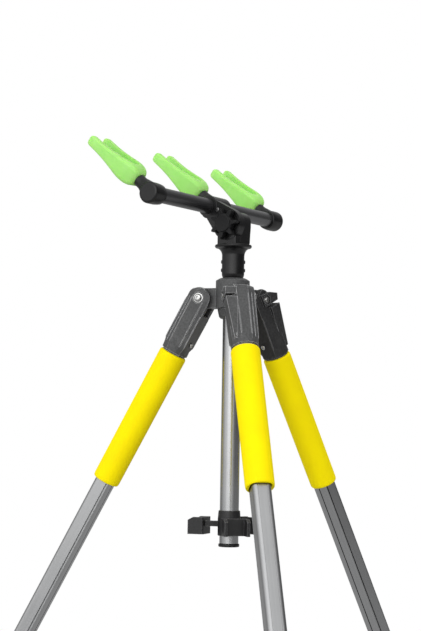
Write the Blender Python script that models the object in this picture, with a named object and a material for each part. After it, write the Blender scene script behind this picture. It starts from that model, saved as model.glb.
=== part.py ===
# Surf rod tripod: three folding legs with foam grips, a round centre column,
# and a tilting crossbar that carries three soft U-shaped rod rests.
#
# Lengths below are in millimetres and are written to the meshes in metres.
# +Z is up and z = 0 is the ground.  The column stands at x = 0, y = COLUMN_Y,
# which puts the middle of the whole stand's footprint over the origin.

import bpy
import bmesh
import math
from mathutils import Vector, Matrix

MM = 0.001
GAP = 0.3                      # running or resting gap between neighbours

# ---------------------------------------------------------------- dimensions
# Stand
SPLAY = math.radians(28.7)     # leg angle from the vertical when open
LEG_AZIMUTHS = (("left", 150.0), ("front", 270.0), ("right", 30.0))
PIVOT_R = 42.0                 # leg pivot to column axis
FOOT_S = 905.0                 # pivot to ground along the leg
PIVOT_Z = FOOT_S * math.cos(SPLAY)
COLUMN_Y = 119.56              # column axis behind the footprint's centre

# Leg profile (rounded square), foam grip and clevis
LEG_W, LEG_R, LEG_WALL = 23.8, 6.0, 1.7
INNER_W, INNER_R, INNER_WALL = 19.4, 4.2, 1.5
FOAM_R, FOAM_R_LOW = 18.9, 18.35
FOAM_TOP, FOAM_END = 82.3, 278.0
CLEVIS_END = 82.0
CLEVIS_OUT, CLEVIS_IN, CLEVIS_HALF = 18.5, 15.8, 19.0
SLOT_HALF = 9.3
LUG_HALF = 9.0
SCREW_Z = -62.0                # grub screw that pins the leg in its clevis
UPPER_TOP, UPPER_END = 24.5, 560.0
CLAMP_TOP, CLAMP_END = 536.0, 590.0
LOWER_TOP, LOWER_END = 365.0, 885.0
FOOT_TOP = 862.0
BOLT_R = 3.0

# Column, hub and head; heights count from the pivot plane
COL_R, COL_WALL = 12.5, 1.3
COL_BOTTOM, COL_TOP = -322.0, 47.0
HUB_R = 22.5
NECK_R, FLANGE_R = 14.9, 24.5
FLANGE_TOP = 71.2
TILT_Z = 97.4                  # tilt axis
PAN = math.radians(-43.8)      # crossbar runs 46 degrees from the x axis
TILT = math.radians(49.7)      # the rests lean this far from the vertical
ARM = 39.5                     # tilt axis to crossbar axis
BAR_OFF = 1.0                  # crossbar centre, beside the column axis
BAR_HALF = 148.0               # crossbar centre to an end rest
BAR_R, BAR_WALL = 10.0, 1.2
STEM = 28.2                    # crossbar axis to the foot of a rest
REST_LEN = 88.0
PRONG, PRONG_GAP = 7.5, 23.0   # prong thickness and the gap between prongs


# ------------------------------------------------------------------- helpers
def clear():
    for ob in list(bpy.data.objects):
        bpy.data.objects.remove(ob, do_unlink=True)


def material(name, color, rough, metal=0.0):
    m = bpy.data.materials.get(name) or bpy.data.materials.new(name)
    m.use_nodes = True
    b = m.node_tree.nodes["Principled BSDF"]
    b.inputs["Base Color"].default_value = (*color, 1.0)
    b.inputs["Roughness"].default_value = rough
    b.inputs["Metallic"].default_value = metal
    m.diffuse_color = (*color, 1.0)
    return m


def skin(loops, closed=False, caps=True):
    """Faces between successive loops of equal length; a loop of one point is a tip."""
    bm = bmesh.new()
    vs = [[bm.verts.new(p) for p in lp] for lp in loops]
    pairs = list(zip(vs, vs[1:]))
    if closed:
        pairs.append((vs[-1], vs[0]))
    for a, b in pairs:
        n = max(len(a), len(b))
        for i in range(n):
            j = (i + 1) % n
            if len(a) == 1:
                bm.faces.new((a[0], b[j], b[i]))
            elif len(b) == 1:
                bm.faces.new((a[i], a[j], b[0]))
            else:
                bm.faces.new((a[i], a[j], b[j], b[i]))
    if caps and not closed:
        for lp in (vs[0], vs[-1]):
            if len(lp) > 2:
                bm.faces.new(lp)
    bmesh.ops.recalc_face_normals(bm, faces=bm.faces)
    return bm


def circle(r, z, n, phase=0.0, flat=None):
    """Ring of n points; flat alternates the radius, for hexagons and ribs."""
    out = []
    for i in range(n):
        a = phase + 2 * math.pi * i / n
        q = r * (flat if flat and i % 2 else 1.0)
        out.append(Vector((q * math.cos(a), q * math.sin(a), z)))
    return out


def lathe(profile, n, closed=False, flats=None, phase=0.0):
    loops = []
    for k, (r, z) in enumerate(profile):
        if r < 1e-6:
            loops.append([Vector((0, 0, z))])
        else:
            loops.append(circle(r, z, n, phase, flats.get(k) if flats else None))
    return skin(loops, closed)


def prism(points, lo, hi, axis="Z"):
    """Extrude an outline.  Z: (x, y) outlines; Y: (x, z) outlines; X: (y, z)."""
    def place(p, h):
        if axis == "Z":
            return Vector((p[0], p[1], h))
        if axis == "Y":
            return Vector((p[0], h, p[1]))
        return Vector((h, p[0], p[1]))
    return skin([[place(p, lo) for p in points], [place(p, hi) for p in points]])


def box(x0, x1, y0, y1, z0, z1):
    return prism([(x0, y0), (x1, y0), (x1, y1), (x0, y1)], z0, z1)


def cylinder(r, lo, hi, axis="Z", at=(0, 0, 0), n=16, flat=None):
    bm = skin([circle(r, lo, n, 0, flat), circle(r, hi, n, 0, flat)])
    if axis == "Y":
        bm.transform(Matrix.Rotation(math.radians(-90), 4, "X"))
    elif axis == "X":
        bm.transform(Matrix.Rotation(math.radians(90), 4, "Y"))
    bm.transform(Matrix.Translation(Vector(at)))
    return bm


def along_y(bm):
    """Turn a lathe's axis from Z to Y, keeping +Z profile heights at +Y."""
    bm.transform(Matrix.Rotation(math.radians(-90), 4, "X"))
    return bm


def rounded_square(w, r, k=5, h=None):
    """Corner-rounded outline, 4 * k points."""
    h = w if h is None else h
    pts = []
    for q, (sx, sy) in enumerate(((1, 1), (-1, 1), (-1, -1), (1, -1))):
        cx, cy = sx * (w / 2 - r), sy * (h / 2 - r)
        for i in range(k):
            a = math.radians(90 * q + 90 * i / (k - 1))
            pts.append((cx + r * math.cos(a), cy + r * math.sin(a)))
    return pts


def flat_loop(points, z):
    return [Vector((p[0], p[1], z)) for p in points]


def hull(points):
    """Convex outline of 2-D points, anticlockwise."""
    pts = sorted(set((round(x, 5), round(y, 5)) for x, y in points))

    def half(seq):
        out = []
        for p in seq:
            while len(out) > 1 and ((out[-1][0] - out[-2][0]) * (p[1] - out[-2][1])
                                    - (out[-1][1] - out[-2][1]) * (p[0] - out[-2][0])) <= 1e-9:
                out.pop()
            out.append(p)
        return out[:-1]
    return half(pts) + half(reversed(pts))


def disc(cx, cy, r, n):
    return [(cx + r * math.cos(2 * math.pi * i / n), cy + r * math.sin(2 * math.pi * i / n))
            for i in range(n)]


def temp(bm, name="tool"):
    me = bpy.data.meshes.new(name)
    bm.to_mesh(me)
    bm.free()
    ob = bpy.data.objects.new(name, me)
    bpy.context.scene.collection.objects.link(ob)
    return ob


def combine(base, steps):
    """Apply a list of (operation, bmesh) booleans to a bmesh, in millimetres."""
    ob = temp(base, "body")
    for op, tool_bm in steps:
        tool = temp(tool_bm)
        mod = ob.modifiers.new("cut", "BOOLEAN")
        mod.operation = op
        mod.solver = "EXACT"
        mod.object = tool
        dg = bpy.context.evaluated_depsgraph_get()
        dg.update()
        me = bpy.data.meshes.new_from_object(ob.evaluated_get(dg))
        ob.modifiers.clear()
        ob.data = me
        bpy.data.objects.remove(tool, do_unlink=True)
    bm = bmesh.new()
    bm.from_mesh(ob.data)
    bpy.data.objects.remove(ob, do_unlink=True)
    bmesh.ops.remove_doubles(bm, verts=bm.verts, dist=0.0005)
    bmesh.ops.dissolve_degenerate(bm, edges=bm.edges, dist=0.0005)
    bmesh.ops.dissolve_limit(bm, angle_limit=math.radians(0.05),
                             verts=bm.verts, edges=bm.edges)
    bmesh.ops.triangulate(bm, faces=[f for f in bm.faces if len(f.verts) > 4])
    return bm


def make(name, bm, mat, parent, at=(0, 0, 0), crease=35.0):
    """Finish a sub-part: millimetres to metres, shading, material, parent."""
    bm.transform(Matrix.Scale(MM, 4))
    me = bpy.data.meshes.new(name)
    bm.to_mesh(me)
    bm.free()
    me.shade_smooth()
    me.set_sharp_from_angle(angle=math.radians(crease))
    me.materials.append(mat)
    ob = bpy.data.objects.new(name, me)
    bpy.context.scene.collection.objects.link(ob)
    ob.parent = parent
    ob.location = Vector(at) * MM
    return ob


def empty(name, parent=None, at=(0, 0, 0), turn=(0, 0, 0)):
    ob = bpy.data.objects.new(name, None)
    ob.empty_display_size = 0.03
    bpy.context.scene.collection.objects.link(ob)
    ob.parent = parent
    ob.location = Vector(at) * MM
    ob.rotation_euler = turn
    return ob


def copy_bm(bm, matrix):
    out = bm.copy()
    out.transform(matrix)
    return out


# --------------------------------------------------------------------- parts
def hub_mesh():
    """Round hub with a stepped bore and three thick lugs."""
    body = lathe([(15.1, -13.5), (21.5, -13.5), (HUB_R, -12.5), (HUB_R, 23.3),
                  (16.8, 26.6), (12.8, 26.6), (12.8, 20.2), (15.1, 20.2)], 32, closed=True)
    # Lug outline in (distance beyond the pivot, height).  Its upper outer
    # corner meets the clevis wall when the leg is fully open.
    side = [(-25, -13.2), (6.4, -13.2), (11.4, -9.6), (14.2, -4.6), (14.8, 1.5), (13.0, 7.4),
            (10.5, 12.07), (8.0, 13.5), (-25, 13.5)]
    lug = prism([(PIVOT_R + x, z) for x, z in side], -LUG_HALF, LUG_HALF, "Y")
    hole = cylinder(BOLT_R + GAP, -20, 20, "Y", (PIVOT_R, 0, 0), 12)
    steps, holes = [], []
    for _, az in LEG_AZIMUTHS:
        turn = Matrix.Rotation(math.radians(az), 4, "Z")
        steps.append(("UNION", copy_bm(lug, turn)))
        holes.append(("DIFFERENCE", copy_bm(hole, turn)))
    lug.free()
    hole.free()
    return combine(body, steps + holes)


def clip_star_mesh():
    """Collar on the column with three outward U clips for the folded legs."""
    collar = lathe([(COL_R + GAP, -312), (14.2, -312), (15.0, -311.2), (15.0, -289),
                    (14.2, -279.6), (13.6, -279.0), (COL_R + GAP, -279.0)], 28, closed=True)
    inner, outer, half, wall = 30.8, 52.1, 17.0, 4.35
    u = [(inner, -half + 2.5), (inner + 2.5, -half), (outer - 1, -half), (outer, -half + 1),
         (outer, -half + wall - 0.8), (outer - 0.8, -half + wall), (inner + 3.5, -half + wall),
         (inner + 3.5, half - wall), (outer - 0.8, half - wall), (outer, half - wall + 0.8),
         (outer, half - 1), (outer - 1, half), (inner + 2.5, half), (inner, half - 2.5)]
    clip = prism(u, -310.5, -288.2)
    web = box(14.0, 31.8, -5.0, 5.0, -300.2, -292.8)
    steps = []
    for _, az in LEG_AZIMUTHS:
        turn = Matrix.Rotation(math.radians(az), 4, "Z")
        steps.append(("UNION", copy_bm(web, turn)))
        steps.append(("UNION", copy_bm(clip, turn)))
    clip.free()
    web.free()
    steps.append(("DIFFERENCE", cylinder(2.1, 12.0, 20.0, "Y", (0, 0, -284.5), 10)))
    return combine(collar, steps)


def clevis_mesh():
    """Leg head: a tapering faceted shell, slotted for the lug, bored for the leg."""
    half = [(CLEVIS_OUT, 0), (CLEVIS_OUT, 7.6), (13.2, 13.2), (7.5, CLEVIS_HALF),
            (-1.0, CLEVIS_HALF), (-9.0, CLEVIS_HALF), (-CLEVIS_IN, 17.2), (-CLEVIS_IN, 8.0),
            (-CLEVIS_IN, 0)]
    base = half + [(x, -y) for x, y in reversed(half[1:-1])]
    n = len(base)

    def section(z, squash=1.0, narrow=1.0, to_round=0.0, r=18.2):
        out = []
        for i, (x, y) in enumerate(base):
            a = 2 * math.pi * i / n
            px, py = x * squash, y * narrow
            out.append(Vector((px + (r * math.cos(a) - px) * to_round,
                               py + (r * math.sin(a) - py) * to_round, z)))
        return out
    loops = [section(z, math.sqrt(1 - (z / 14.5) ** 2)) for z in (14.3, 13.0, 10.5, 7.5, 4.0)]
    loops += [section(0), section(-66, 1, 0.935), section(-72, 1, 0.93, 0.6),
              section(-77, 1, 0.93, 1.0), section(-CLEVIS_END, 1, 0.93, 1.0)]
    # The nut side has a squared block round its hexagon pocket, level on top when
    # the leg is open, and below it a flared panel that fades out down the leg
    block = prism([(-7, -7.6), (17.8, -7.6), (21.0, 0.9), (8.3, 7.9), (-7, 9.0)], -22.6, -8, "Y")
    panel = skin([flat_loop([(4, -15.5), (13.5, -15.5), (13.5, -8), (4, -8)], -72.0),
                  flat_loop([(2, -22.5), (18.8, -22.5), (18.8, -8), (2, -8)], -12.5)])
    slot = box(-30, CLEVIS_OUT - 3.2, -SLOT_HALF, SLOT_HALF, -20, 30)
    socket = prism(rounded_square(LEG_W + 2 * GAP, LEG_R), -24, -90)
    return combine(skin(loops), [
        ("UNION", panel),
        ("UNION", block),
        ("DIFFERENCE", slot),
        ("DIFFERENCE", socket),
        ("DIFFERENCE", cylinder(BOLT_R + GAP, -30, 30, "Y", n=12)),
        ("DIFFERENCE", cylinder(7.6, 17.2, 30, "Y", n=18)),
        ("DIFFERENCE", cylinder(6.6, -30, -16.6, "Y", n=12, flat=0.866)),
        ("DIFFERENCE", cylinder(2.1, -30, -10, "X", (0, 0, SCREW_Z), 10)),
    ])


def tube_mesh(outline_out, outline_in, z0, z1):
    return skin([flat_loop(outline_out, z0), flat_loop(outline_out, z1),
                 flat_loop(outline_in, z1), flat_loop(outline_in, z0)], closed=True)


def foam_mesh():
    """Foam tube over the leg profile, with softly rounded ends."""
    bore = rounded_square(LEG_W + 2 * GAP, LEG_R, 6)
    n = len(bore)
    t, b = -FOAM_TOP, -FOAM_END

    def ring(r, z):
        return circle(r, z, n, math.radians(7.5))
    return skin([flat_loop(bore, t), ring(17.4, t), ring(18.6, t - 0.9), ring(FOAM_R, t - 3.0),
                 ring(FOAM_R_LOW, b + 4.0), ring(17.9, b + 1.4), ring(16.5, b),
                 flat_loop(bore, b)], closed=True)


def upper_leg_mesh():
    body = tube_mesh(rounded_square(LEG_W, LEG_R), rounded_square(LEG_W - 2 * LEG_WALL, LEG_R - LEG_WALL),
                     -UPPER_END, -UPPER_TOP)
    return combine(body, [("DIFFERENCE", cylinder(2.1, -30, -5, "X", (0, 0, SCREW_Z), 10))])


def lower_leg_mesh():
    return tube_mesh(rounded_square(INNER_W, INNER_R),
                     rounded_square(INNER_W - 2 * INNER_WALL, INNER_R - INNER_WALL),
                     -LOWER_END, -LOWER_TOP)


def clamp_mesh():
    """Leg lock: a sleeve over the end of the upper profile, with two ears."""
    def ring(w, z, r=8.0):
        return flat_loop(rounded_square(w, r, 4), z)
    body = skin([ring(32.0, -CLAMP_TOP, 7.0), ring(34.0, -CLAMP_TOP - 1.6), ring(34.0, -CLAMP_END + 3.0),
                 ring(31.0, -CLAMP_END, 7.0)])
    ear = hull(disc(21.5, -549, 4.6, 12) + [(14, -543.4), (14, -556)])
    steps = [("UNION", prism(ear, 6.4, 10.4, "Y")), ("UNION", prism(ear, -10.4, -6.4, "Y")),
             ("DIFFERENCE", prism(rounded_square(LEG_W + 2 * GAP, LEG_R), -UPPER_END - GAP, -CLAMP_TOP + 5)),
             ("DIFFERENCE", prism(rounded_square(INNER_W + 2 * GAP, INNER_R), -CLAMP_END - 5, -UPPER_END + 2)),
             ("DIFFERENCE", cylinder(2.3, -20, 20, "Y", (21.5, 0, -549), 10))]
    return combine(body, steps)


def lever_mesh():
    """Flip lever, modelled about its pin."""
    side = [(3.9, 0.5), (2.8, 3.0), (0, 4.1), (-2.8, 3.0), (-3.9, 0), (-3.9, -30.0), (-2.6, -38.5),
            (0.6, -42.5), (2.6, -41.0), (1.6, -34.0), (2.0, -8.0)]
    return combine(prism(side, -6.0, 6.0, "Y"), [("DIFFERENCE", cylinder(2.3, -9, 9, "Y", n=10))])


def foot_mesh():
    """Rubber foot, cut flat at the leg's working angle."""
    def ring(w, z, r):
        return flat_loop(rounded_square(w, r, 5), z)
    body = skin([ring(25.0, -FOOT_TOP, 7.5), ring(27.0, -FOOT_TOP - 2, 8.5), ring(28.0, -FOOT_S + 22, 9.5),
                 ring(34.0, -FOOT_S + 8, 14.0), ring(34.0, -FOOT_S - 30, 14.0)])
    ground = box(-60, 60, -60, 60, -60, 0)
    ground.transform(Matrix.Translation((0, 0, -FOOT_S)) @ Matrix.Rotation(SPLAY, 4, "Y"))
    return combine(body, [("DIFFERENCE", ground),
                          ("DIFFERENCE", prism(rounded_square(INNER_W + 2 * GAP, INNER_R),
                                               -LOWER_END - GAP, -FOOT_TOP + 5))])


def screw_mesh(head_r, head_h, shank_r, length, n=12, flat=None):
    """Head from 0 to head_h, shank below it; axis +Z points out of the head."""
    return lathe([(0, -length), (shank_r, -length), (shank_r, 0), (head_r, 0),
                  (head_r, head_h * 0.6), (head_r * 0.72, head_h), (0, head_h)], n,
                 flats={3: flat, 4: flat} if flat else None)


def nut_mesh(r, hole, h):
    return lathe([(hole, 0), (r, 0), (r, h), (hole, h)], 12, closed=True,
                 flats={1: 0.866, 2: 0.866})


def neck_mesh():
    """Sleeve over the column top, opening to a thin trumpet flange."""
    body = lathe([(COL_R + GAP, 26.9), (13.4, 26.9), (14.2, 29.2), (NECK_R, 32.4), (NECK_R, 57.2),
                  (15.4, 60.2), (16.7, 63.0), (18.8, 65.4), (21.4, 66.7), (23.2, 67.1), (24.1, 67.8),
                  (FLANGE_R, 69.1), (24.2, 70.4), (23.4, FLANGE_TOP), (4.3, FLANGE_TOP),
                  (4.3, 58.0), (COL_R + GAP, 58.0)], 28, closed=True)
    steps = []
    for az in (348, 168):
        for z in (48.5, 37.4):
            nub = cylinder(2.4, 13.5, NECK_R + 1.2, "X", (0, 0, z), 8)
            nub.transform(Matrix.Rotation(math.radians(az), 4, "Z"))
            steps.append(("UNION", nub))
    return combine(body, steps)


def yoke_mesh():
    """Foot of the tilt joint: a saddle block on the flange and one upright cheek."""
    half = [(14.5, 74.0), (15.0, 85.0), (15.8, 97.0), (15.6, 104.0), (14.0, 109.0),
            (10.5, 112.8), (5.5, 115.2), (0.0, 116.0)]
    outline = half + [(-x, z) for x, z in reversed(half[:-1])]
    cheek = prism(outline, -5.7, 18.0, "Y")
    base = prism(rounded_square(29.0, 1.6, 3, 36.0), FLANGE_TOP + GAP, 86.0)
    saddle = cylinder(21.45, -30, -5.7, "Y", (0, 0, TILT_Z), 40)
    hexagon = cylinder(8.1, 12.7, 25, "Y", (0, 0, TILT_Z), 12, 0.866)
    return combine(base, [("DIFFERENCE", saddle),
                          ("UNION", cheek),
                          ("DIFFERENCE", cylinder(4.25, -20, 25, "Y", (0, 0, TILT_Z), 14)),
                          ("DIFFERENCE", hexagon),
                          ("DIFFERENCE", cylinder(4.25, 60, 86, n=14))])


def stem_mesh(foot, base):
    """Round stem under a rest, from foot radius at height base to its top."""
    return lathe([(0, base), (foot, base), (foot - 1.2, 14.5), (8.8, 19.0), (8.2, 23.0),
                  (8.2, STEM - GAP), (0, STEM - GAP)], 20, phase=math.radians(5))


def casting_mesh():
    """Upper half of the tilt joint, about the tilt axis; the bar runs along Y."""
    cheek = hull(disc(0, 0, 21.0, 28) + disc(1, 34, 12.5, 20))
    plate = prism(cheek, -18.0, -6.0, "Y")
    boss = along_y(lathe([(0, -18.4), (13.8, -18.4), (14.5, -17.7), (14.5, 18.3), (13.8, 19.0),
                          (0, 19.0)], 24))
    boss.transform(Matrix.Translation((0, 0, ARM)))
    bridge = box(-9, 9, -9.0, 12.0, 20.0, ARM)
    stem = stem_mesh(10.6, 8.0)
    stem.transform(Matrix.Translation((0, BAR_OFF, ARM)))
    steps = [("UNION", bridge), ("UNION", boss), ("UNION", stem),
             ("DIFFERENCE", cylinder(BAR_R + GAP, -30, BAR_OFF - 3, "Y", (0, 0, ARM), 20)),
             ("DIFFERENCE", cylinder(BAR_R + GAP, BAR_OFF + 3, 70, "Y", (0, 0, ARM), 20)),
             ("DIFFERENCE", cylinder(4.25, -30, 0, "Y", n=14)),
             ("DIFFERENCE", cylinder(3.3, ARM + 15.9, ARM + 40, at=(0, BAR_OFF, 0), n=10)),
             ("DIFFERENCE", cylinder(1.9, -30, -9.5, "Y", (6, 0, 23.5), 8))]
    for y in (BAR_OFF - 9.5, BAR_OFF + 9.5):
        steps.append(("DIFFERENCE", cylinder(2.0, -20, -8, "X", (0, y, ARM), 8)))
    return combine(plate, steps)


def elbow_mesh(side):
    """End elbow about the crossbar's end; side = +1 points away from the bar."""
    body = [(0, -13.5), (12.4, -13.5), (12.9, -12.9), (14.0, -4.0), (14.0, 9.5), (13.3, 11.3),
            (11.5, 12.0), (0, 12.0)]
    bm = along_y(lathe(body, 24))
    if side < 0:
        bm.transform(Matrix.Rotation(math.pi, 4, "Z"))
    lo, hi = (-40, 3.8) if side > 0 else (-3.8, 40)
    return combine(bm, [("UNION", stem_mesh(11.0, 4.0)),
                        ("DIFFERENCE", cylinder(BAR_R + GAP, lo, hi, "Y", n=20)),
                        ("DIFFERENCE", cylinder(3.3, 15.9, 40, n=10))])


def along(table, z):
    """Straight-line lookup in a table of (height, value)."""
    for (z0, v0), (z1, v1) in zip(table, table[1:]):
        if z <= z1:
            return v0 + (v1 - v0) * max(0.0, z - z0) / (z1 - z0)
    return table[-1][1]


REST_WIDE = [(0.0, 8.2), (2.0, 9.8), (5.0, 11.6), (10.0, 12.8), (16.0, 13.0), (22.0, 12.7),
             (28.0, 11.9), (35.0, 10.6), (42.0, 9.5), (50.0, 8.4), (58.0, 7.5), (68.0, 7.0),
             (78.0, 6.9), (84.0, 6.7), (86.6, 5.6), (REST_LEN, 3.6)]
REST_DEEP = [(0.0, 7.2), (1.2, 9.6), (4.0, 12.4), (8.4, 14.8), (13.5, 16.9), (20.0, 18.4), (28.0, 19.0),
             (84.0, 19.0), (86.6, 18.2), (REST_LEN, 16.8)]


def rest_mesh():
    """Soft U rest: a rounded spade body, split into two prongs by a round-floored gap."""
    gap = PRONG_GAP / 2
    loops = []
    for z in (0.0, 1.2, 2.8, 5.0, 8.4, 12.5, 17.0, 22.0, 28.0, 35.0, 43.0, 52.0, 62.0, 74.0, 84.0,
              86.6, REST_LEN):
        w, d = along(REST_WIDE, z), along(REST_DEEP, z)
        loops.append(flat_loop(rounded_square(2 * w, 0.36 * w, 4, 2 * d), z))
    arc = [(gap * math.cos(math.radians(a)), 27.0 + gap * math.sin(math.radians(a)))
           for a in range(0, -181, -20)]
    slot = prism([(gap, REST_LEN + 5)] + arc + [(-gap, REST_LEN + 5)], -30, 30, "X")
    return combine(skin(loops), [("DIFFERENCE", slot),
                                 ("DIFFERENCE", cylinder(3.3, -5, 10.5, n=10))])


def knob_mesh():
    """Seven-fingered knob about the tilt axis, closed outer face towards -Y."""
    n = 84

    def outline(scale, z):
        pts = []
        for i in range(n):
            a = 2 * math.pi * i / n
            r = 12.8 + 8.0 * max(0.0, math.cos(7 * (a - math.radians(3))))
            pts.append(Vector((r * scale * math.cos(a), r * scale * math.sin(a), z)))
        return pts
    bm = skin([outline(0.93, 19.6), outline(1.0, 20.8), outline(1.0, 27.0), outline(0.93, 28.2),
               circle(11.6, 28.2, n), circle(11.3, 30.0, n), circle(10.6, 30.4, n)])
    bm.transform(Matrix.Rotation(math.radians(90), 4, "X"))
    return combine(bm, [("DIFFERENCE", cylinder(4.3, -28.0, -10, "Y", n=14))])


def ring_mesh():
    """Ribbed conical lock ring under the hub."""
    n = 48
    ribs = {1: 0.985, 2: 0.975, 3: 0.975, 4: 0.985}
    return lathe([(12.8, -27.2), (15.0, -27.2), (17.6, -24.6), (19.7, -15.2), (19.0, -13.9),
                  (15.1, -13.9), (15.1, -22.4), (12.8, -22.4)], n, closed=True, flats=ribs)


def bush_mesh():
    body = lathe([(12.75, -22.1), (14.8, -22.1), (14.8, 19.9), (12.75, 19.9)], 24, closed=True)
    return combine(body, [("DIFFERENCE", box(10, 20, -1.2, 1.2, -30, 12))])


# ------------------------------------------------------------------ assembly
def build():
    clear()
    grey = material("grey_nylon", (0.085, 0.088, 0.09), 0.38)
    black = material("black_nylon", (0.014, 0.014, 0.015), 0.45)
    alu = material("leg_aluminium", (0.62, 0.63, 0.65), 0.32, 1.0)
    dark_alu = material("bar_aluminium", (0.12, 0.12, 0.125), 0.35, 0.8)
    steel = material("plated_steel", (0.6, 0.6, 0.6), 0.25, 1.0)
    foam = material("yellow_foam", (0.95, 0.78, 0.0), 0.75)
    green = material("green_rubber", (0.36, 0.8, 0.2), 0.5)
    rubber = material("black_rubber", (0.02, 0.02, 0.02), 0.8)
    nylon = material("white_nylon", (0.75, 0.74, 0.7), 0.5)

    stand = empty("stand", at=(0, COLUMN_Y, PIVOT_Z))

    # Hub and column
    make("hub", hub_mesh(), grey, stand)
    make("collet_bush", bush_mesh(), nylon, stand)
    make("lock_ring", ring_mesh(), grey, stand, crease=20)
    column = empty("column_slide", stand)
    make("centre_column", lathe([(COL_R - COL_WALL, COL_BOTTOM), (COL_R, COL_BOTTOM), (COL_R, COL_TOP),
                                 (COL_R - COL_WALL, COL_TOP)], 32, closed=True), alu, column)
    make("column_end_cap", lathe([(0, -326.5), (12.8, -326.5), (13.8, -325.6), (13.8, COL_BOTTOM - GAP),
                                  (10.8, COL_BOTTOM - GAP), (10.4, -306), (0, -306)], 24), black, column)
    make("leg_clip_spider", clip_star_mesh(), black, column)
    bm = screw_mesh(3.2, 2.0, 1.8, 2.9, 10)
    along_y(bm)
    make("spider_screw", bm, steel, column, (0, 15.9, -284.5))
    make("neck_sleeve", neck_mesh(), black, column)
    bm = lathe([(0, 0), (7.4, 0), (7.4, 5.2), (3.95, 5.2), (3.95, 33.0), (0, 33.0)], 12,
               flats={1: 0.866, 2: 0.866})
    make("pan_bolt", bm, steel, column, (0, 0, 52.4))

    # Head: the yoke turns on the flange, the casting tilts in the yoke
    turn = empty("head_turn", column, (0, 0, 0), (0, 0, PAN))
    make("tilt_yoke", yoke_mesh(), black, turn)
    bm = lathe([(0, 0), (7.4, 0), (7.4, 5.0), (3.95, 5.0), (3.95, 44.8), (0, 44.8)], 12,
               flats={1: 0.866, 2: 0.866})
    bm.transform(Matrix.Rotation(math.radians(90), 4, "X"))
    make("tilt_bolt", bm, steel, turn, (0, 18.0, TILT_Z))
    bm = along_y(lathe([(4.4, 0), (9.0, 0), (9.0, 0.9), (4.4, 0.9)], 16, closed=True))
    make("tilt_washer", bm, steel, turn, (0, -19.25, TILT_Z))
    make("tilt_knob", knob_mesh(), black, turn, (0, 0, TILT_Z))
    tilt = empty("head_tilt", turn, (0, 0, TILT_Z), (0, -TILT, 0))
    make("tilt_casting", casting_mesh(), black, tilt)
    bm = screw_mesh(3.2, 2.0, 1.6, 7.5, 10)
    bm.transform(Matrix.Rotation(math.radians(90), 4, "X"))
    make("head_screw", bm, steel, tilt, (6, -18.3, 23.5))
    for tag, y in (("left", BAR_OFF - 9.5), ("right", BAR_OFF + 9.5)):
        bm = screw_mesh(3.3, 2.2, 1.7, 4.0, 10)
        bm.transform(Matrix.Rotation(math.radians(-90), 4, "Y"))
        make("bar_screw_" + tag, bm, steel, tilt, (-14.8, y, ARM))
    tube = [(BAR_R - BAR_WALL, 0), (BAR_R, 0), (BAR_R, 1), (BAR_R - BAR_WALL, 1)]
    for tag, side in (("left", -1), ("right", 1)):
        y_in = BAR_OFF + side * 3.3
        y_out = BAR_OFF + side * (BAR_HALF + 3.5)
        lo, hi = min(y_in, y_out), max(y_in, y_out)
        bm = along_y(lathe([(r, lo + (hi - lo) * t) for r, t in tube], 20, closed=True))
        make("bar_tube_" + tag, bm, dark_alu, tilt, (0, 0, ARM))
        make("end_elbow_" + tag, elbow_mesh(side), black, tilt, (0, BAR_OFF + side * BAR_HALF, ARM))
    for tag, y in (("left", -BAR_HALF), ("middle", 0.0), ("right", BAR_HALF)):
        make("rod_rest_" + tag, rest_mesh(), green, tilt, (0, BAR_OFF + y, ARM + STEM))
        make("rest_stud_" + tag, cylinder(3.0, -12.0, 10.0, n=10), steel, tilt, (0, BAR_OFF + y, ARM + STEM))

    # Legs, each modelled hanging straight down from its pivot
    for tag, az in LEG_AZIMUTHS:
        a = math.radians(az)
        leg = empty("leg_pivot_" + tag, stand, (PIVOT_R * math.cos(a), PIVOT_R * math.sin(a), 0),
                    (0, -SPLAY, a))
        make("clevis_" + tag, clevis_mesh(), grey, leg)
        bm = lathe([(0, -23.2), (BOLT_R, -23.2), (BOLT_R, 17.5), (6.8, 17.5), (6.8, 18.6), (4.9, 18.9),
                    (4.6, 20.6), (3.2, 21.9), (0, 22.2)], 12)
        make("pivot_bolt_" + tag, along_y(bm), steel, leg)
        make("pivot_nut_" + tag, along_y(nut_mesh(5.77, BOLT_R + GAP, 4.7)), steel, leg, (0, -21.6, 0))
        bm = screw_mesh(3.4, 2.4, 1.7, 6.2, 10)
        bm.transform(Matrix.Rotation(math.radians(-90), 4, "Y"))
        make("clevis_screw_" + tag, bm, steel, leg, (-CLEVIS_IN - GAP, 0, SCREW_Z))
        make("foam_grip_" + tag, foam_mesh(), foam, leg)
        make("upper_leg_" + tag, upper_leg_mesh(), alu, leg)
        make("clamp_body_" + tag, clamp_mesh(), black, leg)
        make("lever_pin_" + tag, cylinder(2.0, -10.2, 10.2, "Y", n=10), steel, leg, (21.5, 0, -549))
        make("clamp_lever_" + tag, lever_mesh(), black, leg, (21.5, 0, -549))
        slide = empty("leg_slide_" + tag, leg)
        make("lower_leg_" + tag, lower_leg_mesh(), alu, slide)
        make("foot_" + tag, foot_mesh(), rubber, slide)

    bpy.context.view_layer.update()


build()
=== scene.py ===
# Looks for the rod stand: detailed pieces around the fixed CAD frame.
# Mesh code works in millimetres in each part's own frame and is scaled to metres.

import bmesh
import bpy
import math
from mathutils import Matrix, Vector

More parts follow.
